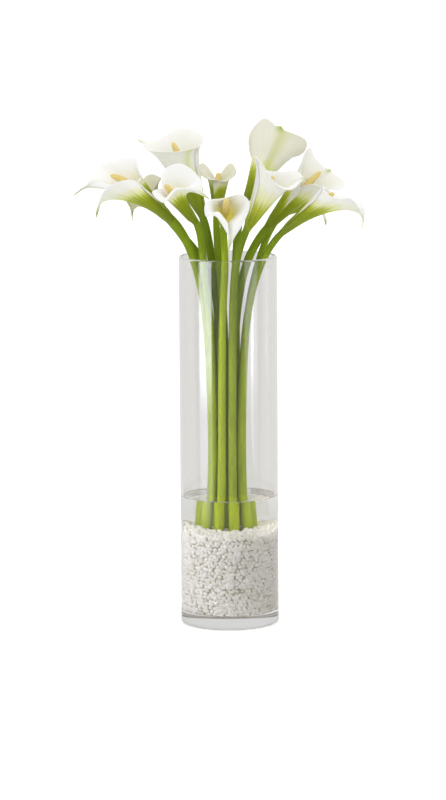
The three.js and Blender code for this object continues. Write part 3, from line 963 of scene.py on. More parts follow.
@dataclass(frozen=True)
class PebbleFinish:
    """White crushed stone. Each pebble has its own tone, and some are creamy or a little grey."""

    effects: Effects
    name: str
    stops: Stops
    mottle: Mottle
    roughness: Span = (0.45, 0.7)
    relief: Relief = Relief(strength=0.4, height=0.0004)

    def build(self) -> bpy.types.Material:
        """Makes the material.

        Returns:
            The material.
        """
        material, graph = start_material(self.name)
        colour = graph.ramp(graph.point_value("tone"), self.stops)
        patches = graph.mottled(self.effects.mottle, graph.place(), self.mottle, colour)
        shader = graph.node("BsdfPrincipled", {
            "Base Color": patches["Color"],
            "Roughness": graph.ranged(patches["Mask"], (0.0, self.mottle.amount), self.roughness),
            "Normal": graph.bump(patches["Mask"], self.relief),
        })
        close_material(graph, shader.outputs["BSDF"])
        return material


# Vase, water and gravel


@dataclass(frozen=True)
class Vase:
    """The glass cylinder with its thick flat base, its rounded heel and its rounded lip.

    beside is how close to a rounded edge the next ring lies, which keeps the plain parts plain
    where they are shaded smooth, and flat how far in from the edge a flat part's last ring lies.
    """

    radius: float = 50.0
    height: float = 377.0
    wall: float = 3.3
    base: float = 14.0
    heel: float = 3.2
    corner: float = 1.5
    beside: float = 0.4
    flat: float = 6.0
    sides: int = 160
    lip_steps: int = 8
    crease: float = 35.0

    @property
    def inner(self) -> float:
        """Radius of the inside."""
        return self.radius - self.wall

    def profile(self) -> Outline:
        """The outline from the bottom, out and over the lip, and down to the inner floor.

        Returns:
            The radius and height of each point.
        """
        inner, lip, corner, beside = self.inner, self.wall / 2, self.corner, self.beside
        foot, floor = self.radius - self.heel, inner - corner
        points = [(foot - self.flat, 0.0), (foot - beside, 0.0)]
        points += rounded((foot, self.heel), self.heel, -90, 0)
        points += [(self.radius, self.heel + beside), (self.radius, self.height - lip - beside)]
        points += rounded((self.radius - lip, self.height - lip), lip, 0, 180, self.lip_steps)
        points += [(inner, self.height - lip - beside), (inner, self.base + corner + beside)]
        points += rounded((floor, self.base + corner), corner, 0, -90)
        points += [(floor - beside, self.base), (floor - self.flat, self.base)]
        return points

    def build(self, glass: bpy.types.Material) -> None:
        """Models the vase.

        Args:
            glass: its finish.
        """
        piece = turned("glass_vase", self.profile(), self.sides)
        smooth(piece, self.crease)
        dressed(piece, glass, "glass", "vase")


@dataclass(frozen=True)
class Water:
    """The water, which fills the vase from its floor, round the gravel, up to its level.

    It reaches a little into the glass, so that no air shows between them, and climbs a little where
    it meets it. Each row of curl is how far in from the glass a ring of the surface lies, and its
    share of the climb.
    """

    vase: Vase
    level: float = 131.5
    climb: float = 0.8
    curl: Table = (
        (0.0, 1.0), (0.35, 0.5), (0.75, 0.22), (1.3, 0.07), (2.0, 0.01), (2.4, 0.0), (6.0, 0.0),
    )
    into_glass: float = 0.12
    crease: float = 50.0

    def profile(self) -> Outline:
        """The outline from the floor out, up the wall and in across the surface.

        Returns:
            The radius and height of each point.
        """
        reach = self.vase.inner + self.into_glass
        corner = self.vase.corner + self.into_glass
        low = self.vase.base - self.into_glass
        floor, beside = reach - corner, self.vase.beside
        points = [(floor - self.vase.flat, low), (floor - beside, low)]
        points += rounded((floor, low + corner), corner, -90, 0)
        points += [(reach, low + corner + beside), (reach, self.level - beside)]
        points += [(reach - inward, self.level + self.climb * share) for inward, share in self.curl]
        return points

    def build(self, clear: bpy.types.Material) -> None:
        """Models the water.

        Args:
            clear: its finish.
        """
        piece = turned("water_in_vase", self.profile(), self.vase.sides)
        smooth(piece, self.crease)
        dressed(piece, clear, "water", "water")


@dataclass(frozen=True)
class Chip:
    """One kind of crushed stone: a roughened ball, stretched and then cut flat on some sides.

    Its sizes are shares of the ball's radius. From kind to kind it grows longer, in rounds of
    three, and higher, in rounds of four. The turns and the tilt, in radians, make the flat sides of
    each kind face another way.
    """

    kind: int
    rough: float = 0.1
    longer: float = 0.16
    width: float = 0.92
    lowest: float = 0.78
    higher: float = 0.07
    flat: float = 0.76
    cuts: int = 2
    kind_turn: float = 2.1
    cut_turn: float = 2.4
    kind_tilt: float = 1.7

    def stretch(self) -> Point:
        """Its length, width and height."""
        longer, higher = self.longer * (self.kind % 3), self.higher * (self.kind % 4)
        return (1.0 + longer, self.width, self.lowest + higher)

    def facing(self, cut: int) -> Vector:
        """The way that one of its flat sides faces."""
        turn, rise = self.kind_turn * self.kind + self.cut_turn * cut, self.kind_tilt * self.kind
        return Vector((math.cos(turn), math.sin(turn), math.cos(rise + cut))).normalized()

    def build(self) -> Shape:
        """Models the chip, and reads its mesh so that it can be copied.

        Returns:
            Its points, for a radius of about 1, and the corners of its triangles.
        """
        select_none()
        bpy.ops.mesh.primitive_ico_sphere_add(subdivisions=2, radius=1.0)
        chip = bpy.context.object
        bpy.ops.object.mode_set(mode="EDIT")
        bpy.ops.transform.vertex_random(offset=self.rough, seed=self.kind)
        bpy.ops.transform.resize(value=self.stretch(), center_override=(0, 0, 0))
        for cut in range(self.cuts):
            facing = self.facing(cut)
            bpy.ops.mesh.select_all(action="SELECT")
            bpy.ops.mesh.bisect(
                plane_co=tuple(facing * self.flat), plane_no=tuple(facing),
                use_fill=True, clear_outer=True,
            )
        bpy.ops.mesh.select_all(action="SELECT")
        bpy.ops.mesh.quads_convert_to_tris()
        bpy.ops.mesh.normals_make_consistent(inside=False)
        bpy.ops.object.mode_set(mode="OBJECT")
        faces = np.array([tuple(face.vertices) for face in chip.data.polygons])
        points = coordinates(chip)
        bpy.data.objects.remove(chip)
        return points, faces


@dataclass(frozen=True)
class WallLayer:
    """How the chips lie against the glass, in rows from the floor up.

    row_step, chip_step and floor, which is the lowest row's height, are shares of a chip's radius.
    Below heel_height the chips lie further in, clear of the rounded corner of the vase's floor. The
    stray values are how far chance moves a chip: round as a share of a step, in and up in mm.
    """

    row_step: float = 1.55
    chip_step: float = 1.74
    floor: float = 0.4
    overlap: float = 0.1
    under_top: float = 0.4
    heel_height: float = 1.6
    heel_share: float = 0.5
    stray_round: float = 0.24
    stray_in: float = 0.35
    stray_up: float = 0.75


@dataclass(frozen=True)
class TopLayer:
    """How the chips lie on top, in lanes across the vase.

    step is a share of a chip's radius, lane the distance between two lanes as a share of a step,
    and stray how far chance moves a chip, as a share of a step. stray_up, from_glass and from_stem
    are in mm, and past_stem is the share of a chip's radius that is added to from_stem.
    """

    step: float = 1.75
    lane: float = 0.9
    stray: float = 0.28
    stray_up: Span = (-0.9, 1.1)
    from_glass: float = 0.6
    from_stem: float = 4.6
    past_stem: float = 0.6


@dataclass(frozen=True)
class Core:
    """The stone in shade behind the chips. behind is a share of a chip's radius, the rest is in mm.

    Each row of foot is a ring's place from the core's edge at the floor, and each row of shoulder
    its place from the edge at the top.
    """

    behind: float = 1.35
    above_floor: float = 0.15
    foot: Table = ((-5.0, 0.0), (-0.5, 0.0), (0.0, 0.5))
    shoulder: Table = ((0.0, -4.2), (-1.0, -3.4), (-6.0, -3.4))
    sides: int = 96
    crease: float = 35.0


@dataclass(frozen=True)
class Gravel:
    """White crushed stone: one layer of chips against the glass, one on top, and a core behind.

    chip is a chip's middle radius, chip_sizes how small and how large one may be beside it, and
    beside_glass how far all of them stay off the glass. slope is how steeply the top falls.
    """

    vase: Vase
    top: float = 101.0
    slope: float = 0.12
    chip: float = 2.45
    chip_sizes: Span = (0.8, 1.22)
    beside_glass: float = 0.12
    kinds: int = 8
    seed: int = 11
    crease: float = 55.0
    at_glass: WallLayer = WallLayer()
    on_top: TopLayer = TopLayer()
    core: Core = Core()

    def level(self, y: np.ndarray | float) -> np.ndarray | float:
        """The height of the stone's top, which falls a little towards the front."""
        return self.top + self.slope * np.minimum(0.0, y)

    def scattered(self, name: str, places: np.ndarray, chips: list[Shape],
                  chance: np.random.Generator) -> bpy.types.Object:
        """Copies the chips to their places, each turned and sized by chance.

        Args:
            name: the new object's name.
            places: the chips' middles in millimetres, one row each.
            chips: the kinds of chip.
            chance: the source of chance.

        Returns:
            One object with a mesh of its own that holds them all.
        """
        points, faces, tones, count = [], [], [], 0
        for place in places:
            shape, corners = chips[int(chance.integers(len(chips)))]
            spin = quaternion_rows(chance.normal(size=4))
            size = self.chip * chance.uniform(*self.chip_sizes)
            points.append(self.pressed(shape @ spin.T * size + place))
            faces.append(corners + count)
            tones.append(np.full(len(shape), chance.uniform()))
            count += len(shape)
        mesh = bpy.data.meshes.new(name)
        mesh.from_pydata((np.vstack(points) * MM).tolist(), [], np.vstack(faces).tolist())
        piece = bpy.data.objects.new(name, mesh)
        bpy.context.collection.objects.link(piece)
        set_point_values(piece, "tone", np.concatenate(tones))
        smooth(piece, self.crease)
        return piece

    def pressed(self, points: np.ndarray) -> np.ndarray:
        """Moves those of a chip's points that would reach into the glass back to it.

        Args:
            points: the chip's points in millimetres, one row each.

        Returns:
            The points where they end up.
        """
        limit = self.vase.inner - self.beside_glass
        reach = np.hypot(points[:, 0], points[:, 1])
        share = np.minimum(1.0, limit / np.maximum(reach, TINY))
        z = np.maximum(points[:, 2], self.vase.base + self.beside_glass)
        return np.column_stack((points[:, 0] * share, points[:, 1] * share, z))

    def wall_places(self, chance: np.random.Generator) -> np.ndarray:
        """Where the chips against the glass lie.

        Args:
            chance: the source of chance.

        Returns:
            Their middles in millimetres, one row each.
        """
        lie, chip, base = self.at_glass, self.chip, self.vase.base
        reach = self.vase.inner + lie.overlap - chip
        floor = base + lie.floor * chip
        rows = int((self.top - chip - floor) / (lie.row_step * chip))
        around = int(2 * math.pi * reach / (lie.chip_step * chip))
        rest = []
        for row in range(rows + 1):
            for k in range(around):
                turn = k + 0.5 * (row % 2) + chance.uniform(-lie.stray_round, lie.stray_round)
                angle = 2 * math.pi * turn / around
                ceiling = self.level(reach * math.sin(angle)) - chip - lie.under_top
                z = floor + (ceiling - floor) * row / rows
                tuck = max(0.0, lie.heel_height - (z - base)) * lie.heel_share
                r = reach - tuck - abs(chance.normal(0, lie.stray_in))
                z = z + chance.uniform(-lie.stray_up, lie.stray_up)
                rest.append((r * math.cos(angle), r * math.sin(angle), z))
        return np.array(rest)

    def top_places(self, stems: np.ndarray, chance: np.random.Generator) -> np.ndarray:
        """Where the chips on top lie, clear of the stems.

        Args:
            stems: where the stems cross the top, one row each.
            chance: the source of chance.

        Returns:
            The chips' middles in millimetres, one row each.
        """
        lie = self.on_top
        reach = self.vase.inner - lie.from_glass - self.chip
        step = lie.step * self.chip
        free = lie.from_stem + lie.past_stem * self.chip
        rest = []
        lanes = int(reach / step) + 1
        for row in range(-lanes, lanes + 1):
            for column in range(-lanes, lanes + 1):
                x = (column + 0.5 * (row % 2) + chance.uniform(-lie.stray, lie.stray)) * step
                y = (row * lie.lane + chance.uniform(-lie.stray, lie.stray)) * step
                z = self.level(y) - self.chip + chance.uniform(*lie.stray_up)
                clear = np.hypot(stems[:, 0] - x, stems[:, 1] - y).min() > free
                if math.hypot(x, y) < reach and clear:
                    rest.append((x, y, z))
        return np.array(rest)

    def build_core(self, shade: bpy.types.Material, chance: np.random.Generator) -> None:
        """Models the core, whose top falls towards the front as the chips' does.

        Args:
            shade: the finish of the stone seen deep between the chips.
            chance: the source of chance.
        """
        core = self.core
        reach = self.vase.inner - core.behind * self.chip
        floor = self.vase.base + core.above_floor
        profile = [(reach + out, floor + up) for out, up in core.foot]
        profile += [(reach + out, self.top + up) for out, up in core.shoulder]
        piece = turned("gravel_core", profile, core.sides)
        at = coordinates(piece)
        share = share_between(at[:, 2] / MM, floor, self.top)
        at[:, 2] += share * (self.level(at[:, 1] / MM) - self.top) * MM
        move_points(piece, at)
        set_point_values(piece, "tone", chance.uniform(size=len(piece.data.vertices)))
        smooth(piece, core.crease)
        dressed(piece, shade, "gravel", "gravel")

    def build(self, stone: bpy.types.Material, shade: bpy.types.Material,
              stems: np.ndarray) -> None:
        """Models the gravel.

        Args:
            stone: the chips' finish.
            shade: the finish of the stone seen deep between them.
            stems: where the stems cross the top, one row each.
        """
        chance = np.random.default_rng(self.seed)
        chips = [Chip(kind).build() for kind in range(self.kinds)]
        wall = self.scattered("gravel_against_glass", self.wall_places(chance), chips, chance)
        dressed(wall, stone, "gravel", "gravel")
        above = self.scattered("gravel_on_top", self.top_places(stems, chance), chips, chance)
        dressed(above, stone, "gravel", "gravel")
        self.build_core(shade, chance)


def quaternion_rows(q: np.ndarray) -> np.ndarray:
    """Turns four numbers of any length into a rotation.

    Args:
        q: the four numbers, the real one first.

    Returns:
        The rows of the rotation matrix.
    """
    w, x, y, z = q / np.linalg.norm(q)
    return np.array((
        (1 - 2 * (y * y + z * z), 2 * (x * y - z * w), 2 * (x * z + y * w)),
        (2 * (x * y + z * w), 1 - 2 * (x * x + z * z), 2 * (y * z - x * w)),
        (2 * (x * z - y * w), 2 * (y * z + x * w), 1 - 2 * (x * x + y * y)),
    ))


# Flowers


def unit(v: np.ndarray) -> np.ndarray:
    """A direction of length 1, or one for each row."""
    return v / np.linalg.norm(v, axis=-1, keepdims=True)


def curve_shares(t: np.ndarray | float) -> tuple[np.ndarray | float, ...]:
    """The shares that make a smooth curve between two points with a given slope at each.

    Args:
        t: how far along the curve, from 0 to 1.

    Returns:
        The shares of the first point, the slope there, the second point and the slope there.
    """
    return (2 * t**3 - 3 * t**2 + 1, t**3 - 2 * t**2 + t, 3 * t**2 - 2 * t**3, t**3 - t**2)


def centripetal(knots: np.ndarray, steps: int) -> np.ndarray:
    """A smooth curve through the knots that doesn't overshoot, as the frame's stems have it.

    Args:
        knots: the points that it passes through, one row each.
        steps: how many steps it has from one knot to the next.

    Returns:
        The curve's points, one row each.
    """
    padded = np.vstack((2 * knots[0] - knots[1], knots, 2 * knots[-1] - knots[-2]))
    rows = []
    for p0, p1, p2, p3 in zip(padded, padded[1:], padded[2:], padded[3:]):
        spans = ((p0, p1), (p1, p2), (p2, p3))
        d0, d1, d2 = (max(np.linalg.norm(b - a) ** 0.5, NEAR) for a, b in spans)
        m1 = ((p1 - p0) / d0 - (p2 - p0) / (d0 + d1) + (p2 - p1) / d1) * d1
        m2 = ((p2 - p1) / d1 - (p3 - p1) / (d1 + d2) + (p3 - p2) / d2) * d1
        for k in range(steps):
            first, leaving, second, arriving = curve_shares(k / steps)
            rows.append(first * p1 + leaving * m1 + second * p2 + arriving * m2)
    rows.append(knots[-1])
    return np.array(rows)


def evenly(points: np.ndarray, count: int) -> np.ndarray:
    """The same line with its points evenly spaced.

    Args:
        points: the line's points, one row each.
        count: how many points it gets.

    Returns:
        The new points, one row each.
    """
    run = np.concatenate(([0.0], np.cumsum(np.linalg.norm(np.diff(points, axis=0), axis=1))))
    wanted = np.linspace(0, run[-1], count)
    return np.column_stack([np.interp(wanted, run, points[:, k]) for k in range(3)])


@dataclass(frozen=True)
class Stem:
    """A round stem from its cut foot in the gravel, through the waist of the bunch, to its flower.

    Below the flower it runs straight, and its end, plug, sits in the funnel, thinner there by
    plug_gap and already a little thinner by tuck over the tuck_length before. Its line is smoothed
    in rounds of smoothing_share each, but not near its ends, where held says how many stations from
    the end it starts and is full. It is oval by a small share that turns along its length.
    """

    lily: Lily
    radius: float = 4.2
    straight: float = 14.0
    waist: float = 170.0
    plug: float = 5.0
    plug_gap: float = 1.4
    tuck: float = 0.35
    tuck_length: float = 8.0
    curve_steps: int = 24
    smoothing: int = 60
    smoothing_share: float = 0.25
    held: Span = (2.0, 8.0)
    oval: float = 0.025
    oval_turn: float = 5.0
    sides: int = 28
    rings: int = 120
    crease: float = 60.0

    def path(self) -> np.ndarray:
        """Draws the stem's middle line.

        Returns:
            Its points in millimetres, evenly spaced, one row each.
        """
        ring, degrees = self.lily.waist
        angle = math.radians(degrees)
        waist = np.array((math.cos(angle), math.sin(angle))) * ring.value
        rim = np.array(self.lily.rim, float)
        joint, throat = np.array(self.lily.joint, float), np.array(self.lily.throat, float)
        axis = unit(throat - joint)
        knots = [(*(waist * scale + np.array(lean)), z) for z, scale, lean in SPREAD]
        waist = waist + np.array(SPREAD[-1][2])
        knots += [(*(waist + (rim - waist) * share), z) for z, share in OPENING_OUT]
        knots += [tuple(joint - axis * self.straight), tuple(joint)]
        line = centripetal(np.array(knots), self.curve_steps)
        line = evenly(np.vstack((line, joint + axis * self.plug)), self.rings + 1)
        stations = np.arange(len(line))
        share = share_between(np.minimum(stations, stations[::-1]), *self.held)[:, None]
        for _ in range(self.smoothing):
            bend = line[2:] - 2 * line[1:-1] + line[:-2]
            line[1:-1] += share[1:-1] * self.smoothing_share * bend
        return line

    def crossing(self, level: float) -> np.ndarray:
        """Where the stem's middle line crosses a height, as x and y."""
        path = self.path()
        return path[np.argmin(np.abs(path[:, 2] - level))][:2]

    def swell(self, height: np.ndarray, angle: np.ndarray) -> np.ndarray:
        """The radius, which nears the neck's above the waist and shrinks inside the funnel.

        Args:
            height: share of the stem's length at each point.
            angle: angle round the stem at each point.

        Returns:
            The radius at each point, in millimetres.
        """
        path = self.path()
        level = np.interp(height, np.linspace(0, 1, len(path)), path[:, 2])
        length = np.linalg.norm(np.diff(path, axis=0), axis=1).sum()
        past = height * length - (length - self.plug)
        risen = share_between(level, self.waist, self.lily.joint[2])
        radius = self.radius + (self.lily.neck - self.radius) * risen
        radius = radius - self.tuck * np.clip(1 + past / self.tuck_length, 0, 1)
        radius = radius - (self.plug_gap - self.tuck) * np.clip(past, 0, 1)
        turn = 2 * angle + self.oval_turn * height + ord(self.lily.name[1])
        return radius * (1 + self.oval * np.cos(turn))

    def build(self, green: bpy.types.Material, tone: float) -> None:
        """Models the stem.

        Args:
            green: its finish.
            tone: its own tone of green, from fresh at 0 to deep at 1.
        """
        piece = upright_form(f"stem_of_lily_{self.lily.name}", self.sides, self.rings)
        drawn_along(piece, self.path(), self.swell)
        set_point_values(piece, "tone", np.full(len(piece.data.vertices), tone))
        smooth(piece, self.crease)
        dressed(piece, green, "stem", f"stem_{self.lily.name}")


@dataclass(frozen=True)
class SpatheColouring:
    """Where on a spathe each of its colours shows, with its painted shade and painted glow.

    The spans are from where it starts to where it is full, up the funnel from 0 at the stem to 1 at
    the margin, or round it from 0 at the tip to 1 at the front notch.
    """

    tip_round: Span = (0.05, 0.0)
    tip_up: Span = (0.86, 1.0)
    streak_heights: Span = (0.4, 0.9)
    streak_up: Span = (0.2, 0.5)
    streak_width: float = 0.07
    cream_and_shade_up: Span = (0.45, 0.6)
    throat_glow_up: Span = (0.62, 0.18)
    throat_glow_round: Span = (0.95, 0.8)

    def values(self, lily: Lily, u: np.ndarray, v: np.ndarray) -> dict[str, np.ndarray]:
        """What the white finish reads at each point of a spathe.

        Args:
            lily: the flower.
            u: position round the funnel.
            v: position up it.

        Returns:
            The values by their names.
        """
        off = np.abs(u)
        margin_at, low_at, strength = lily.streak
        from_streak = u - np.interp(v, self.streak_heights, (low_at, margin_at))
        streak = strength * np.exp(-((from_streak / self.streak_width) ** 2))
        return {
            "tip": share_between(off, *self.tip_round) * share_between(v, *self.tip_up),
            "streak": streak * share_between(v, *self.streak_up),
            # cream: partly the creamy tint, partly painted shade
            "cream": lily.cream * share_between(v, *self.cream_and_shade_up),
            "green": np.full(len(v), lily.green),
            "soft": np.full(len(v), lily.soft),
            # Where the painted glow in the throat shows
            "throat": share_between(v, *self.throat_glow_up) * share_between(off, *self.throat_glow_round),
        }


@dataclass(frozen=True)
class Spathe:
    """The leaf rolled into a funnel.

    Round it the position runs from -1 to 1, both at the front notch, with 0 at the tip.
    guide_shares are where on the way to the throat the funnel has its two tube radii, and arch is
    where on the way from the throat to the margin it has its arch. The wrap values say how the
    outer margin overlaps the inner one: the gap between the two, from what height on it is full and
    how much of it there is below, how far round it ends and how low. The sleeve reaches down over
    the stem. step and wall_step are how far off the surface is felt for the way that it faces, and
    crowding is how much closer the columns lie near the tip.
    """

    lily: Lily
    thickness: float = 0.8
    above_joint: float = 0.3
    guide_shares: Pair = (0.38, 0.85)
    arch: float = 0.62
    tail_width: float = 0.06
    tail_power: float = 1.5
    wrap_gap: float = 1.3
    wrap_start: float = 0.1
    wrap_least: float = 0.15
    wrap_end: float = 1.22
    wrap_low: float = 0.55
    sleeve: float = 4.0
    sleeve_tuck: float = 0.5
    sleeve_share: float = 0.08
    step: float = 0.004
    wall_level: float = 0.4
    wall_step: float = 0.02
    crowding: float = 0.7
    columns: int = 88
    rows: int = 32
    colouring: SpatheColouring = SpatheColouring()

    def margin(self, u: np.ndarray) -> np.ndarray:
        """The margin at each position round it.

        Args:
            u: the positions, from -1 to 1.

        Returns:
            Its place and the blade's arch there, one row each.
        """
        edge = np.array(self.lily.edge + self.lily.edge[:1], float)
        out = np.empty((len(u), 4))
        for half, here, t in ((edge[:5], u < 0, (u + 1) * 4), (edge[4:], u >= 0, u * 4)):
            padded = np.vstack((2 * half[0] - half[1], half, 2 * half[4] - half[3]))
            t = t[here]
            k = np.clip(t.astype(int), 0, 3)
            before, low, high, after = (padded[k + shift] for shift in range(4))
            slope_in, slope_out = (high - before) / 2, (after - low) / 2
            first, leaving, second, arriving = curve_shares((t - k)[:, None])
            out[here] = low * first + slope_in * leaving + high * second + slope_out * arriving
        return out

    def axis(self) -> tuple[np.ndarray, np.ndarray, float]:
        """The line that the funnel is rolled round.

        Returns:
            The joint, the way from it to the throat, and how far that is.
        """
        joint, throat = np.array(self.lily.joint, float), np.array(self.lily.throat, float)
        length = np.linalg.norm(throat - joint)
        return joint, (throat - joint) / length, length

    def square(self, place: Sequence[float]) -> np.ndarray:
        """The way to a place, square to the funnel's axis.

        Args:
            place: the place, whose first three numbers count.

        Returns:
            The way, with a length of 1.
        """
        joint, axis, _ = self.axis()
        off = np.array(place[:3], float) - joint
        return unit(off - axis * (off @ axis))

    def blade(self, around: np.ndarray, v: np.ndarray) -> np.ndarray:
        """The leaf's middle surface without its overlap.

        Args:
            around: position round the funnel.
            v: position up it, from 0 at the stem to 1 at the margin.

        Returns:
            The surface's points in millimetres, one row each.
        """
        u = np.where(around > 1, around - 2, around)
        lily = self.lily
        throat = np.array(lily.throat, float)
        joint, axis, length = self.axis()
        back = self.square(lily.edge[4])
        side = np.cross(axis, back)
        side *= np.sign(side @ self.square(lily.edge[6]))
        out = back * np.cos(math.pi * u)[:, None] + side * np.sin(math.pi * u)[:, None]
        edge = self.margin(u)
        tail = np.array(lily.tail, float) - np.array(lily.edge[4][:3])
        pull = np.clip(1 - np.abs(u) / self.tail_width, 0, None) ** self.tail_power
        rim = edge[:, :3] + tail * pull[:, None]
        low, high = self.guide_shares
        guides = (
            joint + axis * self.above_joint + out * (lily.neck - self.thickness / 2),
            joint + axis * low * length + out * lily.tube[0],
            joint + axis * high * length + out * lily.tube[1],
            throat + (rim - throat) * self.arch + axis * edge[:, 3:],
            rim,
        )
        v = v[:, None]
        w = 1 - v
        shares = (w**4, 4 * v * w**3, 6 * v**2 * w**2, 4 * v**3 * w, v**4)
        return sum(guide * share for guide, share in zip(guides, shares))

    def surface(self, u: np.ndarray, v: np.ndarray) -> tuple[np.ndarray, np.ndarray]:
        """The rolled leaf with its overlap.

        Args:
            u: position round the funnel, past 1 where the outer margin overlaps.
            v: position up it, from 0 at the stem to 1 at the margin.

        Returns:
            The middle surface's points and the way that it faces outwards.
        """
        step = self.step
        under = np.clip(-v / self.sleeve_share, 0, 1)
        v = np.clip(v, 0, 1)
        low = v * (1 - (1 - self.wrap_low) * share_between(u, 1, self.wrap_end))
        home = np.where(u > 1, u - 2, u)
        behind = np.where(home - step < -1, home - step + 2, home - step)
        ahead = self.blade(home + step, low) - self.blade(behind, low)
        above, below = np.minimum(low + step, 1), np.maximum(low - step, 0)
        facing = unit(np.cross(ahead, self.blade(home, above) - self.blade(home, below)))
        joint, axis, _ = self.axis()
        level = np.full_like(u, self.wall_level)
        start = self.blade(home, level)
        beside, over = self.blade(home + step, level), self.blade(home, level + self.wall_step)
        wall = np.cross(beside - start, over - start)
        off = start - joint
        off -= axis * (off @ axis)[:, None]
        facing *= np.sign(np.sum(wall * off, axis=1))[:, None]
        gap = self.wrap_gap * (
            np.where(u > 1, 1.0, (u + 1) / 2) * np.clip(v / self.wrap_start, self.wrap_least, 1)
        )
        places = self.blade(home, low) + facing * gap[:, None]
        places -= (unit(off) * self.sleeve_tuck + axis * self.sleeve) * under[:, None]
        return places, facing

    def build(self, white: bpy.types.Material) -> None:
        """Models the spathe from a flat sheet that is rolled, thickened and smoothed.

        Args:
            white: its finish.
        """
        select_none()
        bpy.ops.mesh.primitive_grid_add(
            x_subdivisions=self.columns, y_subdivisions=self.rows, size=2,
        )
        piece = bpy.context.object
        piece.name = f"spathe_of_lily_{self.lily.name}"
        flat = coordinates(piece)
        spread = (flat[:, 0] + 1) / 2 * (1 + self.wrap_end**self.crowding) - 1
        u = np.clip(np.sign(spread) * np.abs(spread) ** (1 / self.crowding), -1, self.wrap_end)
        v = (flat[:, 1] + 1) / 2 * (1 + self.sleeve_share) - self.sleeve_share
        places, facing = self.surface(u, v)
        set_uv(piece, np.column_stack((u / 2 + 0.5, v)))
        for name, values in self.colouring.values(self.lily, u, v).items():
            set_point_values(piece, name, values)
        move_points(piece, places * MM)
        apply_modifier(piece, "SOLIDIFY", thickness=self.thickness * MM, offset=0)
        first = coordinates(piece)[:len(places)]
        outwards = np.sum((first - places * MM) * facing, axis=1).mean() > 0
        is_inner = np.full(len(piece.data.vertices), 1.0 if outwards else 0.0)
        is_inner[:len(places)] = 0.0 if outwards else 1.0
        set_point_values(piece, "inner", is_inner)
        apply_modifier(piece, "SUBSURF", levels=1, render_levels=1)
        smooth(piece, ALL_ROUND)
        dressed(piece, white, "spathe", f"spathe_{self.lily.name}")


@dataclass(frozen=True)
class Spadix:
    """The finger in the flower's throat: a bare stalk, then beads in crossing spirals to its end.

    bare is the stretch of its length that is stalk, whose radius is a share of the stem's neck.
    Each row of finger is a place along the length and the share of the radius there. The beads fade
    in over beads_from and out over beads_to.
    """

    lily: Lily
    radius: float = 3.6
    stalk: float = 0.55
    above_joint: float = 0.3
    bare: Span = (0.0, 0.3)
    finger: Table = (
        (0.45, 0.85), (0.55, 1.0), (0.75, 1.0), (0.88, 0.88), (0.95, 0.68), (0.985, 0.42),
        (1.0, 0.0),
    )
    beads: float = 0.32
    beads_from: Span = (0.32, 0.42)
    beads_to: Span = (1.0, 0.96)
    spirals: float = 9.0
    spiral_turn: float = 230.0
    sides: int = 45
    rings: int = 120
    curve_points: int = 80
    path_points: int = 60

    def path(self) -> np.ndarray:
        """Draws the spadix's middle line.

        Returns:
            Its points in millimetres, evenly spaced, one row each.
        """
        lily = self.lily
        joint, throat, end = (np.array(p, float) for p in (lily.joint, lily.throat, lily.spadix))
        joint = joint + unit(throat - joint) * self.above_joint
        t = np.linspace(0, 1, self.curve_points)[:, None]
        line = (1 - t) ** 2 * joint + 2 * t * (1 - t) * throat + t**2 * end
        return evenly(line, self.path_points)

    def crown(self, height: np.ndarray, angle: np.ndarray) -> np.ndarray:
        """How near each point is to the middle of a bead.

        Args:
            height: share of the spadix's length at each point.
            angle: angle round it at each point.

        Returns:
            1 at the middle of a bead, down to 0 between the beads.
        """
        first = np.cos(self.spirals * angle + self.spiral_turn * height)
        second = np.cos(self.spirals * angle - self.spiral_turn * height)
        return np.clip(0.5 + 0.25 * (first + second), 0, 1)

    def swell(self, height: np.ndarray, angle: np.ndarray) -> np.ndarray:
        """The radius along the spadix, with the beads standing out.

        Args:
            height: share of the spadix's length at each point.
            angle: angle round it at each point.

        Returns:
            The radius at each point, in millimetres.
        """
        stalk = self.stalk * self.lily.neck
        stations = (*self.bare, *(place for place, _ in self.finger))
        radii = (stalk, stalk, *(share * self.radius for _, share in self.finger))
        beaded = share_between(height, *self.beads_from) * share_between(height, *self.beads_to)
        standing = self.beads * beaded * (self.crown(height, angle) - 0.5)
        return np.interp(height, stations, radii) + standing

    def build(self, yellow: bpy.types.Material) -> None:
        """Models the spadix.

        Args:
            yellow: its finish.
        """
        piece = upright_form(f"spadix_of_lily_{self.lily.name}", self.sides, self.rings)
        at = coordinates(piece)
        crown = self.crown(at[:, 2], np.arctan2(at[:, 1], at[:, 0]))
        drawn_along(piece, self.path(), self.swell)
        set_point_values(piece, "crown", crown)
        smooth(piece, ALL_ROUND)
        dressed(piece, yellow, "spadix", f"spadix_{self.lily.name}")


# Studio


@dataclass(frozen=True)
class View:
    """The camera, in front of the vase and a little above its middle, with its place in mm."""

    focal_pixels: float = 3609.0
    frame_height: float = 800.0
    sensor: float = 36.0
    far: float = 200.0
    place: Point = (-5.8, -3633.0, 778.0)
    pitch: float = 8.59
    roll: float = -0.38

    def build(self) -> None:
        """Makes the camera."""
        lens = bpy.data.cameras.new("Camera")
        lens.sensor_width = self.sensor
        lens.lens = self.focal_pixels * lens.sensor_width / self.frame_height
        lens.clip_end = self.far
        camera = bpy.data.objects.new("Camera", lens)
        bpy.context.collection.objects.link(camera)
        down, roll = math.radians(self.pitch), math.radians(self.roll)
        forward = Vector((0, math.cos(down), -math.sin(down)))
        level, upright = Vector((1, 0, 0)), Vector((0, math.sin(down), math.cos(down)))
        right = level * math.cos(roll) + upright * math.sin(roll)
        up = upright * math.cos(roll) - level * math.sin(roll)
        rotation = Matrix((right, up, -forward)).transposed().to_4x4()
        camera.matrix_world = Matrix.Translation(Vector(self.place) * MM) @ rotation
        bpy.context.scene.camera = camera


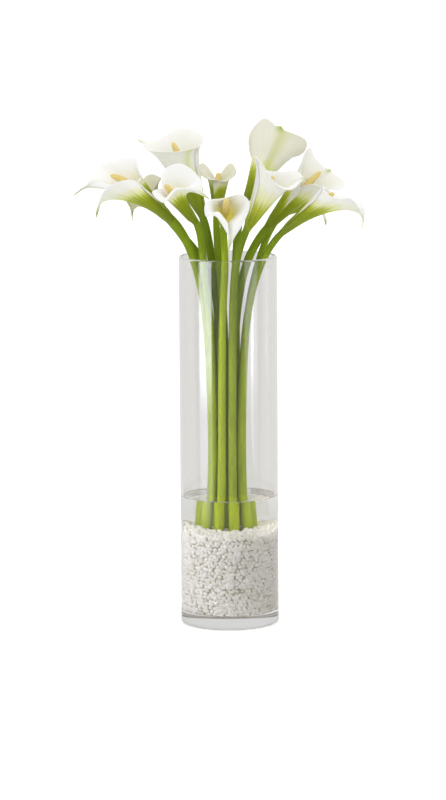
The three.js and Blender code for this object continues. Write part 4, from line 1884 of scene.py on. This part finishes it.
@dataclass(frozen=True)
class Floor:
    """The plain white floor, in metres.

    The glass shows it otherwise: grey where it is seen through the glass, and dark where the glass
    mirrors the part in front of it. dark_front is where that part is full and where it ends.
    """

    radius: float = 40.0
    sides: int = 96
    under: float = 0.0004
    colour: Colour = (0.80, 0.80, 0.80)
    grain: float = 3.0
    roughness: Span = (0.6, 0.8)
    glow: float = 0.42
    dark: Colour = (0.07, 0.07, 0.07)
    dark_front: Span = (-0.32, -0.12)
    grey: Colour = (1.0, 0.985, 0.965)
    through_glass: float = 0.755

    def build(self) -> None:
        """Models the floor and dresses it."""
        select_none()
        bpy.ops.mesh.primitive_circle_add(
            vertices=self.sides, radius=self.radius, fill_type="NGON",
            location=(0, 0, -self.under),
        )
        floor = bpy.context.object
        floor.name = "studio_floor"
        select_only(floor)
        bpy.ops.object.transform_apply(location=True)
        floor.data.materials.append(self.finish())

    def finish(self) -> bpy.types.Material:
        """Makes the material.

        Returns:
            The material.
        """
        material, graph = start_material("white_floor")
        path = graph.node("LightPath").outputs
        shader = graph.node("BsdfPrincipled", {
            "Base Color": self.colour, "Specular IOR Level": 0.0, "Emission Color": WHITE,
            "Roughness": graph.ranged(
                graph.noise(graph.place(), self.grain), (0.0, 1.0), self.roughness,
            ),
            "Emission Strength": graph.maths("MULTIPLY", path["Is Camera Ray"], self.glow),
        })
        front = graph.ranged(graph.split(graph.place())["Y"], self.dark_front, (1.0, 0.0))
        mirrored = graph.maths("MULTIPLY", path["Is Glossy Ray"], front)
        dark = graph.node("BsdfDiffuse", {"Color": self.dark})
        grey = graph.node("Emission", {"Color": self.grey, "Strength": self.through_glass})
        seen = graph.mixed_shader(mirrored, shader.outputs["BSDF"], dark.outputs["BSDF"])
        through = path["Is Transmission Ray"]
        close_material(graph, graph.mixed_shader(through, seen, grey.outputs["Emission"]))
        return material


@dataclass(frozen=True)
class Dome:
    """Light from all round: stronger from above, and in reflections stronger from behind.

    glow is its level at the side and above, and shine what the glass mirrors from the front and
    from behind, each over its span of directions. backdrop is what the camera sees behind the vase,
    and through_glass what it sees there through the glass.
    """

    backdrop: float = 1.04
    through_glass: float = 0.70
    glow: Span = (0.95, 1.20)
    glow_over: Span = (0.0, 0.8)
    front_share: float = 1.08
    shine: Span = (0.13, 1.0)
    shine_over: Span = (-0.7, 0.2)

    def build(self) -> None:
        """Makes the light all round."""
        world = bpy.data.worlds.new("Studio light")
        bpy.context.scene.world = world
        world.use_nodes = True
        graph = Graph(world.node_tree)
        facing = graph.split(graph.node("TexCoord").outputs["Generated"])
        path = graph.node("LightPath").outputs
        shine = graph.ranged(facing["Y"], self.shine_over, self.shine)
        front = graph.ranged(facing["Y"], (-1.0, 1.0), (self.front_share, 2 - self.front_share))
        above = graph.ranged(facing["Z"], self.glow_over, self.glow)
        strength = graph.maths("MULTIPLY", above, front)
        for ray, level in (
            ("Is Glossy Ray", shine), ("Is Camera Ray", self.backdrop),
            ("Is Transmission Ray", self.through_glass),
        ):
            strength = graph.mixed_number(path[ray], strength, level)
        light = graph.node("Background", {"Color": WHITE, "Strength": strength})
        graph.node("OutputWorld", {"Surface": light.outputs["Background"]})


@dataclass(frozen=True)
class Strip:
    """A tall soft strip of light beside the camera's line, which the glass mirrors.

    azimuth is its angle from the front in degrees, positive to the right, and share its power
    beside the stronger strip's. The sizes are in metres, and each row of profile is a height on the
    strip and how bright it is there.
    """

    name: str
    azimuth: float
    share: float
    power: float = 2.3
    colour: Colour = (0.95, 0.96, 1.14)
    distance: float = 0.5
    width: float = 0.28
    height: float = 0.46
    above_floor: float = 0.01
    profile: Table = ((0.0, 0.0), (0.09, 0.22), (0.30, 0.25), (0.42, 1.0), (1.0, 1.0))

    def build(self) -> None:
        """Makes the lamp and aims it at the vase."""
        data = bpy.data.lights.new(self.name, "AREA")
        data.shape = "RECTANGLE"
        data.size, data.size_y = self.width, self.height
        data.energy = self.power * self.share
        data.color = self.colour
        data.use_nodes = True
        graph = Graph(data.node_tree)
        up = graph.split(graph.node("NewGeometry").outputs["Parametric"])["Y"]
        grey = [(stop, (level, level, level)) for stop, level in self.profile]
        light = graph.node("Emission", {"Strength": graph.ramp(up, grey)})
        graph.node("OutputLight", {"Surface": light.outputs["Emission"]})
        lamp = bpy.data.objects.new(self.name, data)
        bpy.context.collection.objects.link(lamp)
        angle = math.radians(self.azimuth)
        middle = Vector((0, 0, self.height / 2 + self.above_floor))
        place = Vector((math.sin(angle), -math.cos(angle), 0.0)) * self.distance + middle
        turn = (middle - place).to_track_quat("-Z", "Y").to_matrix().to_4x4()
        lamp.matrix_world = Matrix.Translation(place) @ turn
        lamp.visible_camera = False
        lamp.visible_diffuse = False


@dataclass(frozen=True)
class Studio:
    """A white floor, soft white light all round, and a strip of light on either side."""

    floor: Floor = Floor()
    dome: Dome = Dome()
    strips: tuple[Strip, ...] = (
        Strip("left strip", -54.0, 1.0), Strip("right strip", 54.0, 0.26),
    )

    def build(self) -> None:
        """Makes the floor, the light all round and the strips."""
        self.floor.build()
        self.dome.build()
        for strip in self.strips:
            strip.build()
        scene = bpy.context.scene
        scene.view_settings.view_transform = "Standard"
        scene.cycles.use_denoising = True


# What differs between finishes of one kind: the spathe's colours from the stem up to the margin,
# and the stones' tones from the darkest to the lightest
OUTSIDE_STOPS = (
    (0.00, (0.16, 0.22, 0.003)), (0.20, (0.20, 0.26, 0.002)), (0.40, (0.27, 0.33, 0.003)),
    (0.49, (0.44, 0.49, 0.05)), (0.56, (0.76, 0.78, 0.42)), (0.68, (0.885, 0.885, 0.845)),
    (1.00, (0.90, 0.895, 0.885)),
)
INSIDE_STOPS = (
    (0.00, (0.80, 0.73, 0.18)), (0.28, (0.92, 0.88, 0.48)), (0.48, (0.91, 0.90, 0.74)),
    (0.70, (0.90, 0.895, 0.865)), (1.00, (0.905, 0.90, 0.89)),
)
STONE_STOPS = (
    (0.00, (0.86, 0.84, 0.75)), (0.20, (0.94, 0.935, 0.875)), (0.60, (0.97, 0.965, 0.92)),
    (1.00, (0.985, 0.98, 0.95)),
)
STONE_STAIN = Mottle(scale=520.0, amount=0.35, colour=(0.84, 0.81, 0.74))
SHADE_STOPS = ((0.0, (0.42, 0.33, 0.19)), (1.0, (0.66, 0.56, 0.38)))
SHADE_STAIN = Mottle(scale=520.0, amount=0.35, colour=(0.48, 0.42, 0.32))

# Each stem's tone of green, from fresh at 0 to deep at 1
STEM_TONES = (0.42, 0.27, 0.62, 0.38, 0.8, 0.6, 0.55, 0.3, 0.72, 0.55, 0.7, 0.0)


def main() -> None:
    """Builds the bouquet piece by piece."""
    logging.basicConfig(level=logging.INFO, format="%(message)s")
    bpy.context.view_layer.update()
    View().build()
    Studio().build()
    effects = Effects(mottle_effect(), ribs_effect())
    glass = ClearFinish(
        "clear_glass", tint=(0.965, 0.965, 0.955), ior=1.5, shade=(1.50, 1.44, 1.34),
        waves=Relief(strength=0.04, height=0.001), wave_scale=9.0,
    ).build()
    clear = ClearFinish(
        "still_water", tint=(0.97, 0.975, 0.965), ior=1.333, shade=(0.99, 0.99, 0.985),
        waves=Relief(strength=0.02, height=0.001), wave_scale=14.0,
    ).build()
    stone = PebbleFinish(effects, "white_stone", STONE_STOPS, STONE_STAIN).build()
    shade = PebbleFinish(effects, "stone_in_shade", SHADE_STOPS, SHADE_STAIN).build()
    green = StemFinish(effects).build()
    white = PetalFinish(effects, OUTSIDE_STOPS, INSIDE_STOPS).build()
    yellow = SpadixFinish(effects).build()
    vase = Vase()
    gravel = Gravel(vase)
    vase.build(glass)
    Water(vase).build(clear)
    crossings = []
    for lily, tone in zip(LILIES, STEM_TONES):
        stem = Stem(lily)
        stem.build(green, tone)
        crossings.append(stem.crossing(gravel.top))
        Spathe(lily).build(white)
        Spadix(lily).build(yellow)
    gravel.build(stone, shade, np.array(crossings))


if __name__ == "__main__":
    main()
